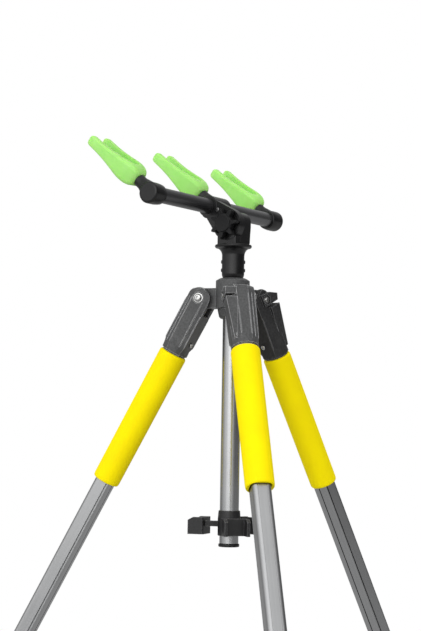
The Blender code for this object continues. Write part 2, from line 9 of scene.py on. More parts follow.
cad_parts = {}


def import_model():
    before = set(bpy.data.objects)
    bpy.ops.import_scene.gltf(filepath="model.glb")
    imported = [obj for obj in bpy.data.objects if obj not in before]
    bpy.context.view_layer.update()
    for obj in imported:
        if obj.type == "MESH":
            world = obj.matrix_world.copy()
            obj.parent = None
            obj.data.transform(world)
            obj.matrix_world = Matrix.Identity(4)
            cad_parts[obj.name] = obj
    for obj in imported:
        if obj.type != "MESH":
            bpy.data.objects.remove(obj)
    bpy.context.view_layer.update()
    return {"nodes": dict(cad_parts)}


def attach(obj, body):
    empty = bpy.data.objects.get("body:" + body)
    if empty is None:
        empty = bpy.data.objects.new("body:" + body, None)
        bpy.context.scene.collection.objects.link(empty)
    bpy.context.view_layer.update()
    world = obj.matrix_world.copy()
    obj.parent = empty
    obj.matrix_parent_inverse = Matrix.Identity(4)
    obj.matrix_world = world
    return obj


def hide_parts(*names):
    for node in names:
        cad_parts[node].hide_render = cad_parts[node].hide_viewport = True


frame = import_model()

MM = 0.001
GAP = 0.3

# ---------------------------------------------------------------- dimensions
SPLAY = math.radians(28.7)
LEG_AZIMUTHS = (("left", 150.0), ("front", 270.0), ("right", 30.0))
PIVOT_R = 42.0
FOOT_S = 905.0
PIVOT_Z = FOOT_S * math.cos(SPLAY)
COLUMN_Y = 119.56

LEG_W, LEG_R, LEG_WALL = 23.8, 6.0, 1.7
INNER_W, INNER_R, INNER_WALL = 19.4, 4.2, 1.5
FOAM_R, FOAM_R_LOW = 18.9, 18.35
FOAM_TOP, FOAM_END = 82.3, 278.0
CLEVIS_END = 82.0
CLEVIS_OUT, CLEVIS_IN, CLEVIS_HALF = 18.5, 15.8, 19.0
SLOT_HALF = 9.3
LUG_HALF = 9.0
SCREW_Z = -62.0
UPPER_TOP, UPPER_END = 24.5, 560.0
CLAMP_TOP, CLAMP_END = 536.0, 590.0
LOWER_TOP, LOWER_END = 365.0, 885.0
FOOT_TOP = 862.0
BOLT_R = 3.0

COL_R, COL_WALL = 12.5, 1.3
COL_BOTTOM, COL_TOP = -322.0, 47.0
HUB_R = 22.5
NECK_R, FLANGE_R = 14.9, 24.5
FLANGE_TOP = 71.2
TILT_Z = 97.4
PAN = math.radians(-43.8)
TILT = math.radians(49.7)
ARM = 39.5
BAR_OFF = 1.0
BAR_HALF = 148.0
BAR_R, BAR_WALL = 10.0, 1.2
STEM = 28.2
REST_LEN = 88.0
PRONG, PRONG_GAP = 7.5, 23.0

# -------------------------------------------------------------------- frames
STAND = Matrix.Translation(Vector((0, COLUMN_Y, PIVOT_Z)) * MM)
HEAD = STAND @ Matrix.Rotation(PAN, 4, "Z")
KNOB = HEAD @ Matrix.Translation((0, 0, TILT_Z * MM))
TILTED = KNOB @ Matrix.Rotation(-TILT, 4, "Y")
LEGS = {}
for _tag, _az in LEG_AZIMUTHS:
    _a = math.radians(_az)
    LEGS[_tag] = (STAND @ Matrix.Translation((PIVOT_R * MM * math.cos(_a), PIVOT_R * MM * math.sin(_a), 0))
                  @ Matrix.Rotation(_a, 4, "Z") @ Matrix.Rotation(-SPLAY, 4, "Y"))


# ------------------------------------------------------------------- helpers
def skin(loops, closed=False, caps=True):
    """Faces between successive loops of equal length; a loop of one point is a tip."""
    bm = bmesh.new()
    vs = [[bm.verts.new(p) for p in lp] for lp in loops]
    pairs = list(zip(vs, vs[1:]))
    if closed:
        pairs.append((vs[-1], vs[0]))
    for a, b in pairs:
        n = max(len(a), len(b))
        for i in range(n):
            j = (i + 1) % n
            if len(a) == 1:
                bm.faces.new((a[0], b[j], b[i]))
            elif len(b) == 1:
                bm.faces.new((a[i], a[j], b[0]))
            else:
                bm.faces.new((a[i], a[j], b[j], b[i]))
    if caps and not closed:
        for lp in (vs[0], vs[-1]):
            if len(lp) > 2:
                bm.faces.new(lp)
    bmesh.ops.recalc_face_normals(bm, faces=bm.faces)
    return bm


def circle(r, z, n, phase=0.0, flat=None):
    out = []
    for i in range(n):
        a = phase + 2 * math.pi * i / n
        q = r * (flat if flat and i % 2 else 1.0)
        out.append(Vector((q * math.cos(a), q * math.sin(a), z)))
    return out


def lathe(profile, n, closed=False, flats=None, phase=0.0):
    loops = []
    for k, (r, z) in enumerate(profile):
        if r < 1e-6:
            loops.append([Vector((0, 0, z))])
        else:
            loops.append(circle(r, z, n, phase, flats.get(k) if flats else None))
    return skin(loops, closed)


def prism(points, lo, hi, axis="Z"):
    def place(p, h):
        if axis == "Z":
            return Vector((p[0], p[1], h))
        if axis == "Y":
            return Vector((p[0], h, p[1]))
        return Vector((h, p[0], p[1]))
    return skin([[place(p, lo) for p in points], [place(p, hi) for p in points]])


def box(x0, x1, y0, y1, z0, z1):
    return prism([(x0, y0), (x1, y0), (x1, y1), (x0, y1)], z0, z1)


def cylinder(r, lo, hi, axis="Z", at=(0, 0, 0), n=32, flat=None, phase=0.0):
    bm = skin([circle(r, lo, n, phase, flat), circle(r, hi, n, phase, flat)])
    if axis == "Y":
        bm.transform(Matrix.Rotation(math.radians(-90), 4, "X"))
    elif axis == "X":
        bm.transform(Matrix.Rotation(math.radians(90), 4, "Y"))
    bm.transform(Matrix.Translation(Vector(at)))
    return bm


def along_y(bm):
    bm.transform(Matrix.Rotation(math.radians(-90), 4, "X"))
    return bm


def rounded_square(w, r, k=5, h=None):
    h = w if h is None else h
    pts = []
    for q, (sx, sy) in enumerate(((1, 1), (-1, 1), (-1, -1), (1, -1))):
        cx, cy = sx * (w / 2 - r), sy * (h / 2 - r)
        for i in range(k):
            a = math.radians(90 * q + 90 * i / (k - 1))
            pts.append((cx + r * math.cos(a), cy + r * math.sin(a)))
    return pts


def flat_loop(points, z):
    return [Vector((p[0], p[1], z)) for p in points]


def hull(points):
    pts = sorted(set((round(x, 5), round(y, 5)) for x, y in points))

    def half(seq):
        out = []
        for p in seq:
            while len(out) > 1 and ((out[-1][0] - out[-2][0]) * (p[1] - out[-2][1])
                                    - (out[-1][1] - out[-2][1]) * (p[0] - out[-2][0])) <= 1e-9:
                out.pop()
            out.append(p)
        return out[:-1]
    return half(pts) + half(reversed(pts))


def disc(cx, cy, r, n):
    return [(cx + r * math.cos(2 * math.pi * i / n), cy + r * math.sin(2 * math.pi * i / n))
            for i in range(n)]


def temp(bm, name="tool"):
    me = bpy.data.meshes.new(name)
    bm.to_mesh(me)
    bm.free()
    ob = bpy.data.objects.new(name, me)
    bpy.context.scene.collection.objects.link(ob)
    return ob


def applied(ob, steps):
    """Apply modifiers given as (type, settings) to a temporary object."""
    for kind, settings in steps:
        mod = ob.modifiers.new(kind.lower(), kind)
        for key, value in settings.items():
            setattr(mod, key, value)
    dg = bpy.context.evaluated_depsgraph_get()
    dg.update()
    me = bpy.data.meshes.new_from_object(ob.evaluated_get(dg))
    ob.modifiers.clear()
    ob.data = me
    return ob


def combine(base, steps):
    ob = temp(base, "body")
    for op, tool_bm in steps:
        tool = temp(tool_bm)
        applied(ob, [("BOOLEAN", {"operation": op, "solver": "EXACT", "object": tool})])
        bpy.data.objects.remove(tool, do_unlink=True)
    bm = bmesh.new()
    bm.from_mesh(ob.data)
    bpy.data.objects.remove(ob, do_unlink=True)
    bmesh.ops.remove_doubles(bm, verts=bm.verts, dist=0.0005)
    bmesh.ops.dissolve_degenerate(bm, edges=bm.edges, dist=0.0005)
    bmesh.ops.dissolve_limit(bm, angle_limit=math.radians(0.05), verts=bm.verts, edges=bm.edges)
    return bm


def bevel(bm, width, segments=2, angle=28.0):
    """Round every edge sharper than the angle, in millimetres."""
    ob = temp(bm, "bevelled")
    applied(ob, [("BEVEL", {"width": width, "segments": segments, "limit_method": "ANGLE",
                            "angle_limit": math.radians(angle), "miter_outer": "MITER_ARC",
                            "use_clamp_overlap": True, "loop_slide": True})])
    out = bmesh.new()
    out.from_mesh(ob.data)
    bpy.data.objects.remove(ob, do_unlink=True)
    bmesh.ops.remove_doubles(out, verts=out.verts, dist=0.0008)
    bmesh.ops.dissolve_degenerate(out, edges=out.edges, dist=0.0008)
    return out


def mesh_of(name, bm, crease=40.0):
    bm.transform(Matrix.Scale(MM, 4))
    me = bpy.data.meshes.new(name)
    bm.to_mesh(me)
    bm.free()
    me.shade_smooth()
    if crease < 180:
        me.set_sharp_from_angle(angle=math.radians(crease))
    return me


def piece(name, mesh, mat, body, matrix, slot, *nodes, at=(0, 0, 0)):
    ob = bpy.data.objects.new(name, mesh)
    bpy.context.scene.collection.objects.link(ob)
    if not mesh.materials:
        mesh.materials.append(mat)
    ob.matrix_world = matrix @ Matrix.Translation(Vector(at) * MM)
    even = ob.modifiers.new("flat_faces", "WEIGHTED_NORMAL")
    even.keep_sharp = True
    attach(ob, body)
    if nodes:
        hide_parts(*nodes)
    return ob


# ----------------------------------------------------------------- materials
class Paint:
    """A Principled material with a short way to add nodes."""

    def __init__(self, name, color, rough, metal=0.0):
        self.m = bpy.data.materials.new(name)
        self.m.use_nodes = True
        self.nt = self.m.node_tree
        self.b = self.nt.nodes["Principled BSDF"]
        self.b.inputs["Base Color"].default_value = (*color, 1)
        self.b.inputs["Roughness"].default_value = rough
        self.b.inputs["Metallic"].default_value = metal
        self.m.diffuse_color = (*color, 1)

    def node(self, kind, links=None, **values):
        n = self.nt.nodes.new(kind)
        for key, value in values.items():
            if hasattr(n, key) and key not in n.inputs:
                setattr(n, key, value)
            else:
                n.inputs[key].default_value = value
        for key, source in (links or {}).items():
            self.nt.links.new(source, n.inputs[key])
        return n

    def coords(self, scale=(1, 1, 1)):
        tc = self.node("ShaderNodeTexCoord")
        mp = self.node("ShaderNodeMapping", {"Vector": tc.outputs["Object"]})
        mp.inputs["Scale"].default_value = scale
        return mp.outputs["Vector"]

    def noise(self, vector, scale, detail=3.0, rough=0.5):
        n = self.node("ShaderNodeTexNoise", {"Vector": vector})
        n.inputs["Scale"].default_value = scale
        n.inputs["Detail"].default_value = detail
        n.inputs["Roughness"].default_value = rough
        return n.outputs["Fac"]

    def ramp(self, fac, lo, hi, out_lo, out_hi):
        n = self.node("ShaderNodeMapRange", {"Value": fac})
        for key, value in (("From Min", lo), ("From Max", hi), ("To Min", out_lo), ("To Max", out_hi)):
            n.inputs[key].default_value = value
        return n.outputs["Result"]

    def mix(self, fac, a, b):
        n = self.nt.nodes.new("ShaderNodeMix")
        n.data_type = "RGBA"
        self.nt.links.new(fac, n.inputs[0])
        for value, socket in ((a, n.inputs[6]), (b, n.inputs[7])):
            if isinstance(value, tuple):
                socket.default_value = (*value, 1)
            else:
                self.nt.links.new(value, socket)
        return n.outputs[2]

    def math(self, op, a, b=None):
        n = self.nt.nodes.new("ShaderNodeMath")
        n.operation = op
        for k, value in enumerate((a, b)):
            if value is None:
                continue
            if isinstance(value, (int, float)):
                n.inputs[k].default_value = value
            else:
                self.nt.links.new(value, n.inputs[k])
        return n.outputs[0]

    def to(self, socket, source):
        self.nt.links.new(source, self.b.inputs[socket])

    def bump(self, height, strength, distance):
        n = self.node("ShaderNodeBump", {"Height": height})
        n.inputs["Strength"].default_value = strength
        n.inputs["Distance"].default_value = distance
        self.to("Normal", n.outputs["Normal"])

    def edges(self, radius):
        """1 along sharp edges and beads, 0 on flat and gently curved faces."""
        g = self.nt.nodes.new("ShaderNodeNewGeometry")
        soft = self.nt.nodes.new("ShaderNodeBevel")
        soft.samples = 6
        soft.inputs["Radius"].default_value = radius
        dot = self.nt.nodes.new("ShaderNodeVectorMath")
        dot.operation = "DOT_PRODUCT"
        self.nt.links.new(g.outputs["Normal"], dot.inputs[0])
        self.nt.links.new(soft.outputs["Normal"], dot.inputs[1])
        return self.ramp(dot.outputs["Value"], 0.985, 0.86, 0.0, 1.0)

    def painted_ao_shade(self, reach, deepest):
        """1 in the open, falling to the given value in joints, corners and recesses: ambient occlusion used as painted
        shade.
        """
        n = self.nt.nodes.new("ShaderNodeAmbientOcclusion")
        n.samples = 6
        n.inputs["Distance"].default_value = reach
        return self.ramp(n.outputs["AO"], 0.25, 0.85, deepest, 1.0)


def moulded(name, color, light, rough, grain, edge_wear_and_highlight=0.35, grain_size=1900.0, mottle=0.12, painted_shade_floor=1.0):
    """Moulded plastic: faint cloudiness, fine spark-eroded grain, paler edges (painted highlight, with some edge wear),
    and darker joints and recesses (painted shade from ambient occlusion).
    """
    p = Paint(name, color, rough)
    v = p.coords()
    cloud = p.noise(v, 38.0, 4.0, 0.55)
    fine = p.noise(v, grain_size, 2.0, 0.6)
    base = p.mix(p.ramp(cloud, 0.3, 0.7, 0.0, 1.0), color, tuple(c * 1.22 for c in color))
    spots = p.noise(v, 430.0, 3.0, 0.6)
    base = p.mix(p.ramp(spots, 0.35, 0.65, mottle, 0.0), base, (0.0, 0.0, 0.0))
    # painted shade: darker in joints, corners and recesses, wherever ambient occlusion finds them
    if painted_shade_floor < 1:
        base = p.mix(p.painted_ao_shade(0.007, painted_shade_floor), tuple(c * 0.25 for c in color), base)
    # paler edges: painted highlight along sharp edges and beads, also standing for edge wear
    worn_and_lit = p.math("MULTIPLY", p.edges(0.0009), edge_wear_and_highlight)
    p.to("Base Color", p.mix(worn_and_lit, base, light))
    p.to("Roughness", p.ramp(cloud, 0.25, 0.75, rough - 0.05, rough + 0.07))
    p.bump(fine, grain, 0.0002)
    return p


def drawn_metal(name, color, rough, axis="Z", contrast=0.06, metal=1.0, streak=900.0, painted_shade_floor=1.0):
    """Drawn and anodised tube: fine streaks along the tube; with a shade floor given, painted shade inside its grooves
    and a painted highlight along its edges.
    """
    p = Paint(name, color, rough, metal)
    scale = {"Z": (streak, streak, 5.0), "Y": (streak, 5.0, streak)}[axis]
    v = p.coords(scale)
    streaks = p.noise(v, 1.0, 3.0, 0.6)
    cloud = p.noise(p.coords(), 22.0, 3.0, 0.5)
    both = p.math("ADD", p.math("MULTIPLY", streaks, 0.7), p.math("MULTIPLY", cloud, 0.3))
    dark = tuple(c * (1 - contrast) for c in color)
    pale = tuple(min(1.0, c * (1 + contrast)) for c in color)
    base = p.mix(p.ramp(both, 0.35, 0.65, 0.0, 1.0), dark, pale)
    # painted shade in the grooves from ambient occlusion, then a painted highlight along the edges
    if painted_shade_floor < 1:
        base = p.mix(p.painted_ao_shade(0.0035, painted_shade_floor), tuple(c * 0.12 for c in color), base)
        base = p.mix(p.math("MULTIPLY", p.edges(0.0008), 0.6), base, tuple(min(1.0, c * 1.7) for c in color))
    p.to("Base Color", base)
    p.to("Roughness", p.ramp(both, 0.3, 0.7, rough - 0.05, rough + 0.06))
    p.bump(streaks, 0.10, 0.00006)
    return p


def plated(name, color, rough):
    p = Paint(name, color, rough, 1.0)
    v = p.coords()
    spots = p.noise(v, 420.0, 4.0, 0.6)
    p.to("Base Color", p.mix(p.ramp(spots, 0.35, 0.7, 0.0, 1.0), color, tuple(c * 0.82 for c in color)))
    p.to("Roughness", p.ramp(spots, 0.3, 0.7, rough - 0.06, rough + 0.1))
    p.bump(spots, 0.08, 0.00008)
    return p


# after the roughness: grain, painted edge highlight (with some edge wear), grain size, mottle, and the floor of the
# painted shade in joints and recesses
GREY = moulded("grey_nylon", (0.083, 0.084, 0.085), (0.66, 0.66, 0.67), 0.40, 0.14, 0.9, 1500.0, 0.40, 0.10)
BLACK = moulded("black_nylon", (0.0062, 0.0062, 0.0067), (0.055, 0.055, 0.06), 0.29, 0.12, 0.4, 1900.0, 0.2, 0.5)
BLACK_LEG = moulded("black_nylon_clamp", (0.010, 0.010, 0.011), (0.06, 0.06, 0.065), 0.42, 0.16)
GREY_HUB = moulded("grey_nylon_hub", (0.088, 0.089, 0.090), (0.50, 0.50, 0.51), 0.37, 0.14, 0.7, 1500.0, 0.40, 0.10)
# darker copy of the grey nylon, used on the right clevis only: painted shade
GREY_SHADED = moulded("grey_nylon_painted_shade", (0.040, 0.040, 0.041), (0.36, 0.36, 0.37), 0.52, 0.14, 0.8, 1500.0, 0.45, 0.06)
BLACK_MATT = moulded("black_nylon_matt", (0.0060, 0.0060, 0.0065), (0.04, 0.04, 0.044), 0.46, 0.16, 0.3, 1700.0, 0.2, 0.6)
SPIDER = moulded("black_nylon_spider", (0.016, 0.016, 0.017), (0.26, 0.26, 0.27), 0.38, 0.16, 0.8, 1700.0, 0.3, 0.3)
for _p, _level in ((BLACK, 0.42), (SPIDER, 0.4), (BLACK_LEG, 0.35), (GREY, 0.28), (GREY_HUB, 0.30), (GREY_SHADED, 0.16), (BLACK_MATT, 0.3)):
    _p.b.inputs["Specular IOR Level"].default_value = _level
WHITE = moulded("white_nylon", (0.70, 0.69, 0.65), (0.80, 0.79, 0.75), 0.45, 0.08)
RUBBER = moulded("black_rubber", (0.020, 0.020, 0.020), (0.06, 0.06, 0.06), 0.72, 0.35, 0.5, 1100.0)
ALU = drawn_metal("leg_aluminium", (0.45, 0.455, 0.46), 0.34, painted_shade_floor=0.2)
ALU_COLUMN = drawn_metal("column_aluminium", (0.47, 0.475, 0.48), 0.26, contrast=0.07)
# the right tube is a lighter copy of the same aluminium: painted light
BAR_ALU = {"left": drawn_metal("bar_aluminium", (0.130, 0.130, 0.135), 0.34, "Y", 0.10, 0.9),
           "right": drawn_metal("bar_aluminium_painted_light", (0.178, 0.178, 0.184), 0.34, "Y", 0.10, 0.9)}
STEEL = plated("plated_steel", (0.62, 0.62, 0.61), 0.24)
STEEL_DARK = plated("blackened_screw", (0.20, 0.20, 0.20), 0.34)


def foam_paint():
    p = Paint("yellow_foam", (0.98, 0.80, 0.0), 0.8)
    v = p.coords()
    cells = p.node("ShaderNodeTexVoronoi", {"Vector": v})
    cells.inputs["Scale"].default_value = 1250.0
    pores = p.ramp(cells.outputs["Distance"], 0.0, 0.7, 0.0, 1.0)
    cloud = p.noise(v, 30.0, 4.0, 0.6)
    tint = p.mix(p.ramp(cloud, 0.3, 0.7, 0.0, 1.0), (0.95, 0.765, 0.0), (0.99, 0.82, 0.0))
    p.to("Base Color", p.mix(p.ramp(pores, 0.0, 0.35, 0.35, 0.0), tint, (0.84, 0.64, 0.0)))
    p.to("Roughness", p.ramp(cloud, 0.3, 0.7, 0.72, 0.84))
    p.b.inputs["Subsurface Weight"].default_value = 0.08
    p.b.inputs["Subsurface Radius"].default_value = (1.0, 0.8, 0.1)
    p.b.inputs["Subsurface Scale"].default_value = 0.003
    p.b.inputs["Specular IOR Level"].default_value = 0.12
    p.bump(p.math("ADD", pores, p.noise(v, 600.0, 3.0, 0.6)), 0.16, 0.0003)
    return p


def gel_paint():
    p = Paint("green_rubber", (0.40, 0.80, 0.22), 0.45)
    v = p.coords()
    cloud = p.noise(v, 45.0, 4.0, 0.55)
    p.to("Base Color", p.mix(p.ramp(cloud, 0.3, 0.7, 0.0, 1.0), (0.335, 0.71, 0.16), (0.405, 0.785, 0.21)))
    p.to("Roughness", p.ramp(cloud, 0.3, 0.7, 0.40, 0.52))
    p.b.inputs["Subsurface Weight"].default_value = 0.6
    p.b.inputs["Subsurface Radius"].default_value = (0.8, 1.0, 0.5)
    p.b.inputs["Subsurface Scale"].default_value = 0.012
    p.b.inputs["Specular IOR Level"].default_value = 0.4
    p.bump(p.noise(v, 260.0, 2.0, 0.4), 0.02, 0.0001)
    return p


FOAM, GEL = foam_paint(), gel_paint()


# --------------------------------------------------------------------- rests
def along(table, z):
    """Smooth lookup in a table of (height, value)."""
    for k, ((z0, v0), (z1, v1)) in enumerate(zip(table, table[1:])):
        if z <= z1:
            t = max(0.0, z - z0) / (z1 - z0)
            m0 = (v1 - table[k - 1][1]) / (z1 - table[k - 1][0]) if k else (v1 - v0) / (z1 - z0)
            m1 = (table[k + 2][1] - v0) / (table[k + 2][0] - z0) if k + 2 < len(table) else (v1 - v0) / (z1 - z0)
            h = z1 - z0
            return ((2 * t ** 3 - 3 * t * t + 1) * v0 + (t ** 3 - 2 * t * t + t) * h * m0
                    + (3 * t * t - 2 * t ** 3) * v1 + (t ** 3 - t * t) * h * m1)
    return table[-1][1]


REST_WIDE = [(0.0, 8.4), (2.0, 10.1), (5.0, 12.0), (10.0, 13.3), (16.0, 13.5), (22.0, 13.2),
             (28.0, 12.4), (35.0, 11.1), (42.0, 10.0), (50.0, 8.8), (58.0, 7.9), (68.0, 7.3),
             (78.0, 7.1), (84.0, 6.8), (86.6, 5.7), (REST_LEN, 3.7)]
REST_DEEP = [(0.0, 7.2), (1.2, 9.6), (4.0, 12.4), (8.4, 14.8), (13.5, 16.9), (20.0, 18.4), (28.0, 19.0),
             (84.0, 19.0), (86.6, 18.2), (REST_LEN, 16.8)]


def rest_mesh():
    """Soft U rest with a rounded spade body and a round-floored gap."""
    gap = PRONG_GAP / 2
    heights = [0.0, 0.5, 1.2, 2.0, 3.2, 5.0, 6.6, 8.4, 10.5, 13.0, 16.0, 19.0, 22.0, 25.0, 28.0, 31.5,
               35.0, 39.0, 43.0, 48.0, 53.0, 58.0, 63.0, 68.0, 73.0, 78.0, 81.5, 84.0, 85.6, 86.6,
               87.4, REST_LEN]
    loops = []
    for z in heights:
        w, d = along(REST_WIDE, z), along(REST_DEEP, z)
        loops.append(flat_loop(rounded_square(2 * w, 0.40 * w, 9, 2 * d), z))
    arc = [(gap * math.cos(math.radians(a)), 27.0 + gap * math.sin(math.radians(a)))
           for a in range(0, -181, -10)]
    slot = prism([(gap, REST_LEN + 5)] + arc + [(-gap, REST_LEN + 5)], -30, 30, "X")
    bm = combine(skin(loops), [("DIFFERENCE", slot), ("DIFFERENCE", cylinder(3.3, -5, 10.5, n=24))])
    return bevel(bm, 1.1, 3, 38)


REST = mesh_of("rest", rest_mesh(), 50)
# each rest screws onto its stud, so none of them stands quite square to the bar
for _tag, _y, _twist in (("left", -BAR_HALF, -2.5), ("middle", 0.0, -1.0), ("right", BAR_HALF, -5.0)):
    _seat = TILTED @ Matrix.Translation(Vector((0, BAR_OFF + _y, ARM + STEM)) * MM)
    piece("rest_gel_" + _tag, REST, GEL.m, "tilt_head", _seat @ Matrix.Rotation(math.radians(_twist), 4, "Z"),
          "green_rubber", "rod_rest_" + _tag)


# ---------------------------------------------------------------- head parts
def stem_mesh(foot, base):
    return lathe([(0, base), (foot, base), (foot - 0.5, 11.5), (foot - 1.2, 14.5), (foot - 1.7, 16.8),
                  (8.6, 19.5), (8.3, 21.5), (8.2, 23.0), (8.2, STEM - GAP), (0, STEM - GAP)], 48,
                 phase=math.radians(3))


def casting_mesh():
    cheek = hull(disc(0, 0, 21.0, 72) + disc(1, 34, 12.5, 48))
    plate = prism(cheek, -18.0, -6.0, "Y")
    boss = along_y(lathe([(0, -18.4), (13.8, -18.4), (14.5, -17.7), (14.5, 18.3), (13.8, 19.0),
                          (0, 19.0)], 56))
    boss.transform(Matrix.Translation((0, 0, ARM)))
    bridge = box(-9, 9, -9.0, 12.0, 20.0, ARM)
    stem = stem_mesh(10.6, 8.0)
    stem.transform(Matrix.Translation((0, BAR_OFF, ARM)))
    dish = along_y(lathe([(11.0, -18.6), (18.6, -18.6), (18.6, -17.3), (11.0, -17.3)], 64, closed=True))
    steps = [("UNION", bridge), ("UNION", boss), ("UNION", stem), ("DIFFERENCE", dish),
             ("DIFFERENCE", cylinder(BAR_R + GAP, -30, BAR_OFF - 3, "Y", (0, 0, ARM), 48)),
             ("DIFFERENCE", cylinder(BAR_R + GAP, BAR_OFF + 3, 70, "Y", (0, 0, ARM), 48)),
             ("DIFFERENCE", cylinder(4.25, -30, 0, "Y", n=28)),
             ("DIFFERENCE", cylinder(3.3, ARM + 15.9, ARM + 40, at=(0, BAR_OFF, 0), n=24)),
             ("DIFFERENCE", cylinder(1.9, -30, -9.5, "Y", (6, 0, 23.5), 16))]
    for y in (BAR_OFF - 9.5, BAR_OFF + 9.5):
        steps.append(("DIFFERENCE", cylinder(2.0, -20, -8, "X", (0, y, ARM), 16)))
    return bevel(combine(plate, steps), 0.55, 2)


def elbow_mesh(side):
    body = [(0, -13.5), (12.2, -13.5), (12.7, -13.2), (13.0, -12.6), (13.6, -8.0), (14.0, -3.0), (14.0, 8.6),
            (13.85, 9.8), (13.3, 10.9), (12.5, 11.6), (11.5, 11.95), (10.6, 12.0), (0, 12.0)]
    bm = along_y(lathe(body, 56))
    if side < 0:
        bm.transform(Matrix.Rotation(math.pi, 4, "Z"))
    lo, hi = (-40, 3.8) if side > 0 else (-3.8, 40)
    bm = combine(bm, [("UNION", stem_mesh(11.0, 4.0)),
                      ("DIFFERENCE", cylinder(BAR_R + GAP, lo, hi, "Y", n=48)),
                      ("DIFFERENCE", cylinder(3.3, 15.9, 40, n=24))])
    return bevel(bm, 0.6, 2, 32)


def tube_piece(side):
    y_in = BAR_OFF + side * 3.3
    y_out = BAR_OFF + side * (BAR_HALF + 3.5)
    lo, hi = min(y_in, y_out), max(y_in, y_out)
    c = 0.25
    prof = [(BAR_R - BAR_WALL, lo + c), (BAR_R - BAR_WALL + c, lo), (BAR_R - c, lo), (BAR_R, lo + c)]
    cuts = 12
    prof += [(BAR_R, lo + (hi - lo) * k / cuts) for k in range(1, cuts)]
    prof += [(BAR_R, hi - c), (BAR_R - c, hi), (BAR_R - BAR_WALL + c, hi), (BAR_R - BAR_WALL, hi - c)]
    return along_y(lathe(prof, 56, closed=True))


def yoke_mesh():
    half = [(14.5, 74.0), (15.0, 85.0), (15.5, 91.0), (15.8, 97.0), (15.8, 100.5), (15.6, 104.0),
            (15.0, 106.8), (14.0, 109.0), (12.5, 111.2), (10.5, 112.8), (8.2, 114.2), (5.5, 115.2),
            (2.8, 115.8), (0.0, 116.0)]
    outline = half + [(-x, z) for x, z in reversed(half[:-1])]
    cheek = prism(outline, -5.7, 18.0, "Y")
    base = prism(rounded_square(29.0, 1.6, 5, 36.0), FLANGE_TOP + GAP, 86.0)
    saddle = cylinder(21.45, -30, -5.7, "Y", (0, 0, TILT_Z), 96)
    hexagon = cylinder(8.1, 12.7, 25, "Y", (0, 0, TILT_Z), 12, 0.866)
    bm = combine(base, [("DIFFERENCE", saddle), ("UNION", cheek),
                        ("DIFFERENCE", cylinder(4.25, -20, 25, "Y", (0, 0, TILT_Z), 28)),
                        ("DIFFERENCE", hexagon),
                        ("DIFFERENCE", cylinder(4.25, 60, 86, n=28))])
    return bevel(bm, 0.6, 2)


def knob_mesh():
    n = 168

    def outline(scale, z):
        pts = []
        for i in range(n):
            a = 2 * math.pi * i / n
            c = max(0.0, math.cos(7 * (a - math.radians(3))))
            r = 12.8 + 8.0 * (c ** 0.8 if c > 0 else 0.0)
            pts.append(Vector((r * scale * math.cos(a), r * scale * math.sin(a), z)))
        return pts
    bm = skin([outline(0.92, 19.6), outline(0.965, 20.0), outline(0.99, 20.5), outline(1.0, 21.2),
               outline(1.0, 26.4), outline(0.99, 27.2), outline(0.965, 27.8), outline(0.93, 28.2),
               circle(11.9, 28.2, n), circle(11.6, 28.5, n), circle(11.4, 29.6, n), circle(11.1, 30.1, n),
               circle(10.5, 30.4, n), circle(4.0, 30.4, n), circle(3.4, 30.1, n), circle(0.8, 30.1, n)])
    bm.transform(Matrix.Rotation(math.radians(90), 4, "X"))
    return combine(bm, [("DIFFERENCE", cylinder(4.3, -28.0, -10, "Y", n=28))])


def neck_mesh():
    prof = [(COL_R + GAP, 26.9), (13.2, 26.9), (13.5, 27.1), (13.9, 28.2), (14.4, 29.8), (14.8, 31.4),
            (NECK_R, 33.0), (NECK_R, 57.2), (15.1, 58.8), (15.4, 60.2), (15.9, 61.7), (16.7, 63.0),
            (17.6, 64.3), (18.8, 65.4), (20.0, 66.2), (21.4, 66.7), (22.4, 66.9), (23.2, 67.1), (23.8, 67.5),
            (24.2, 68.2), (FLANGE_R, 69.1), (24.45, 69.8), (24.2, 70.5), (23.8, 71.0), (23.2, FLANGE_TOP),
            (4.3, FLANGE_TOP), (4.3, 58.0), (COL_R + GAP, 58.0)]
    bm = lathe(prof, 72, closed=True)
    steps = []
    for az in (348, 168):
        for z in (48.5, 37.4):
            nub = skin([circle(2.6, 13.4, 16), circle(2.5, 15.1, 16), circle(2.1, 15.8, 16), circle(1.2, 16.1, 16)])
            nub.transform(Matrix.Rotation(math.radians(az), 4, "Z") @ Matrix.Translation((0, 0, z))
                          @ Matrix.Rotation(math.radians(90), 4, "Y"))
            steps.append(("UNION", nub))
    return bevel(combine(bm, steps), 0.25, 2, 40)


CASTING = mesh_of("casting", casting_mesh(), 30)
piece("casting_shell", CASTING, BLACK.m, "tilt_head", TILTED, "black_nylon", "tilt_casting")
for _tag, _side in (("left", -1), ("right", 1)):
    piece("elbow_shell_" + _tag, mesh_of("elbow_" + _tag, elbow_mesh(_side), 30), BLACK.m, "tilt_head", TILTED,
          "black_nylon", "end_elbow_" + _tag, at=(0, BAR_OFF + _side * BAR_HALF, ARM))
    piece("bar_skin_" + _tag, mesh_of("bar_" + _tag, tube_piece(_side), 30), BAR_ALU[_tag].m, "tilt_head", TILTED,
          "bar_aluminium", "bar_tube_" + _tag, at=(0, 0, ARM))
piece("yoke_shell", mesh_of("yoke", yoke_mesh(), 30), BLACK.m, "yoke", HEAD, "black_nylon", "tilt_yoke")
piece("knob_shell", mesh_of("knob", knob_mesh(), 30), BLACK_MATT.m, "knob", KNOB, "black_nylon", "tilt_knob")
piece("neck_shell", mesh_of("neck", neck_mesh(), 30), BLACK.m, "column", STAND, "black_nylon", "neck_sleeve")


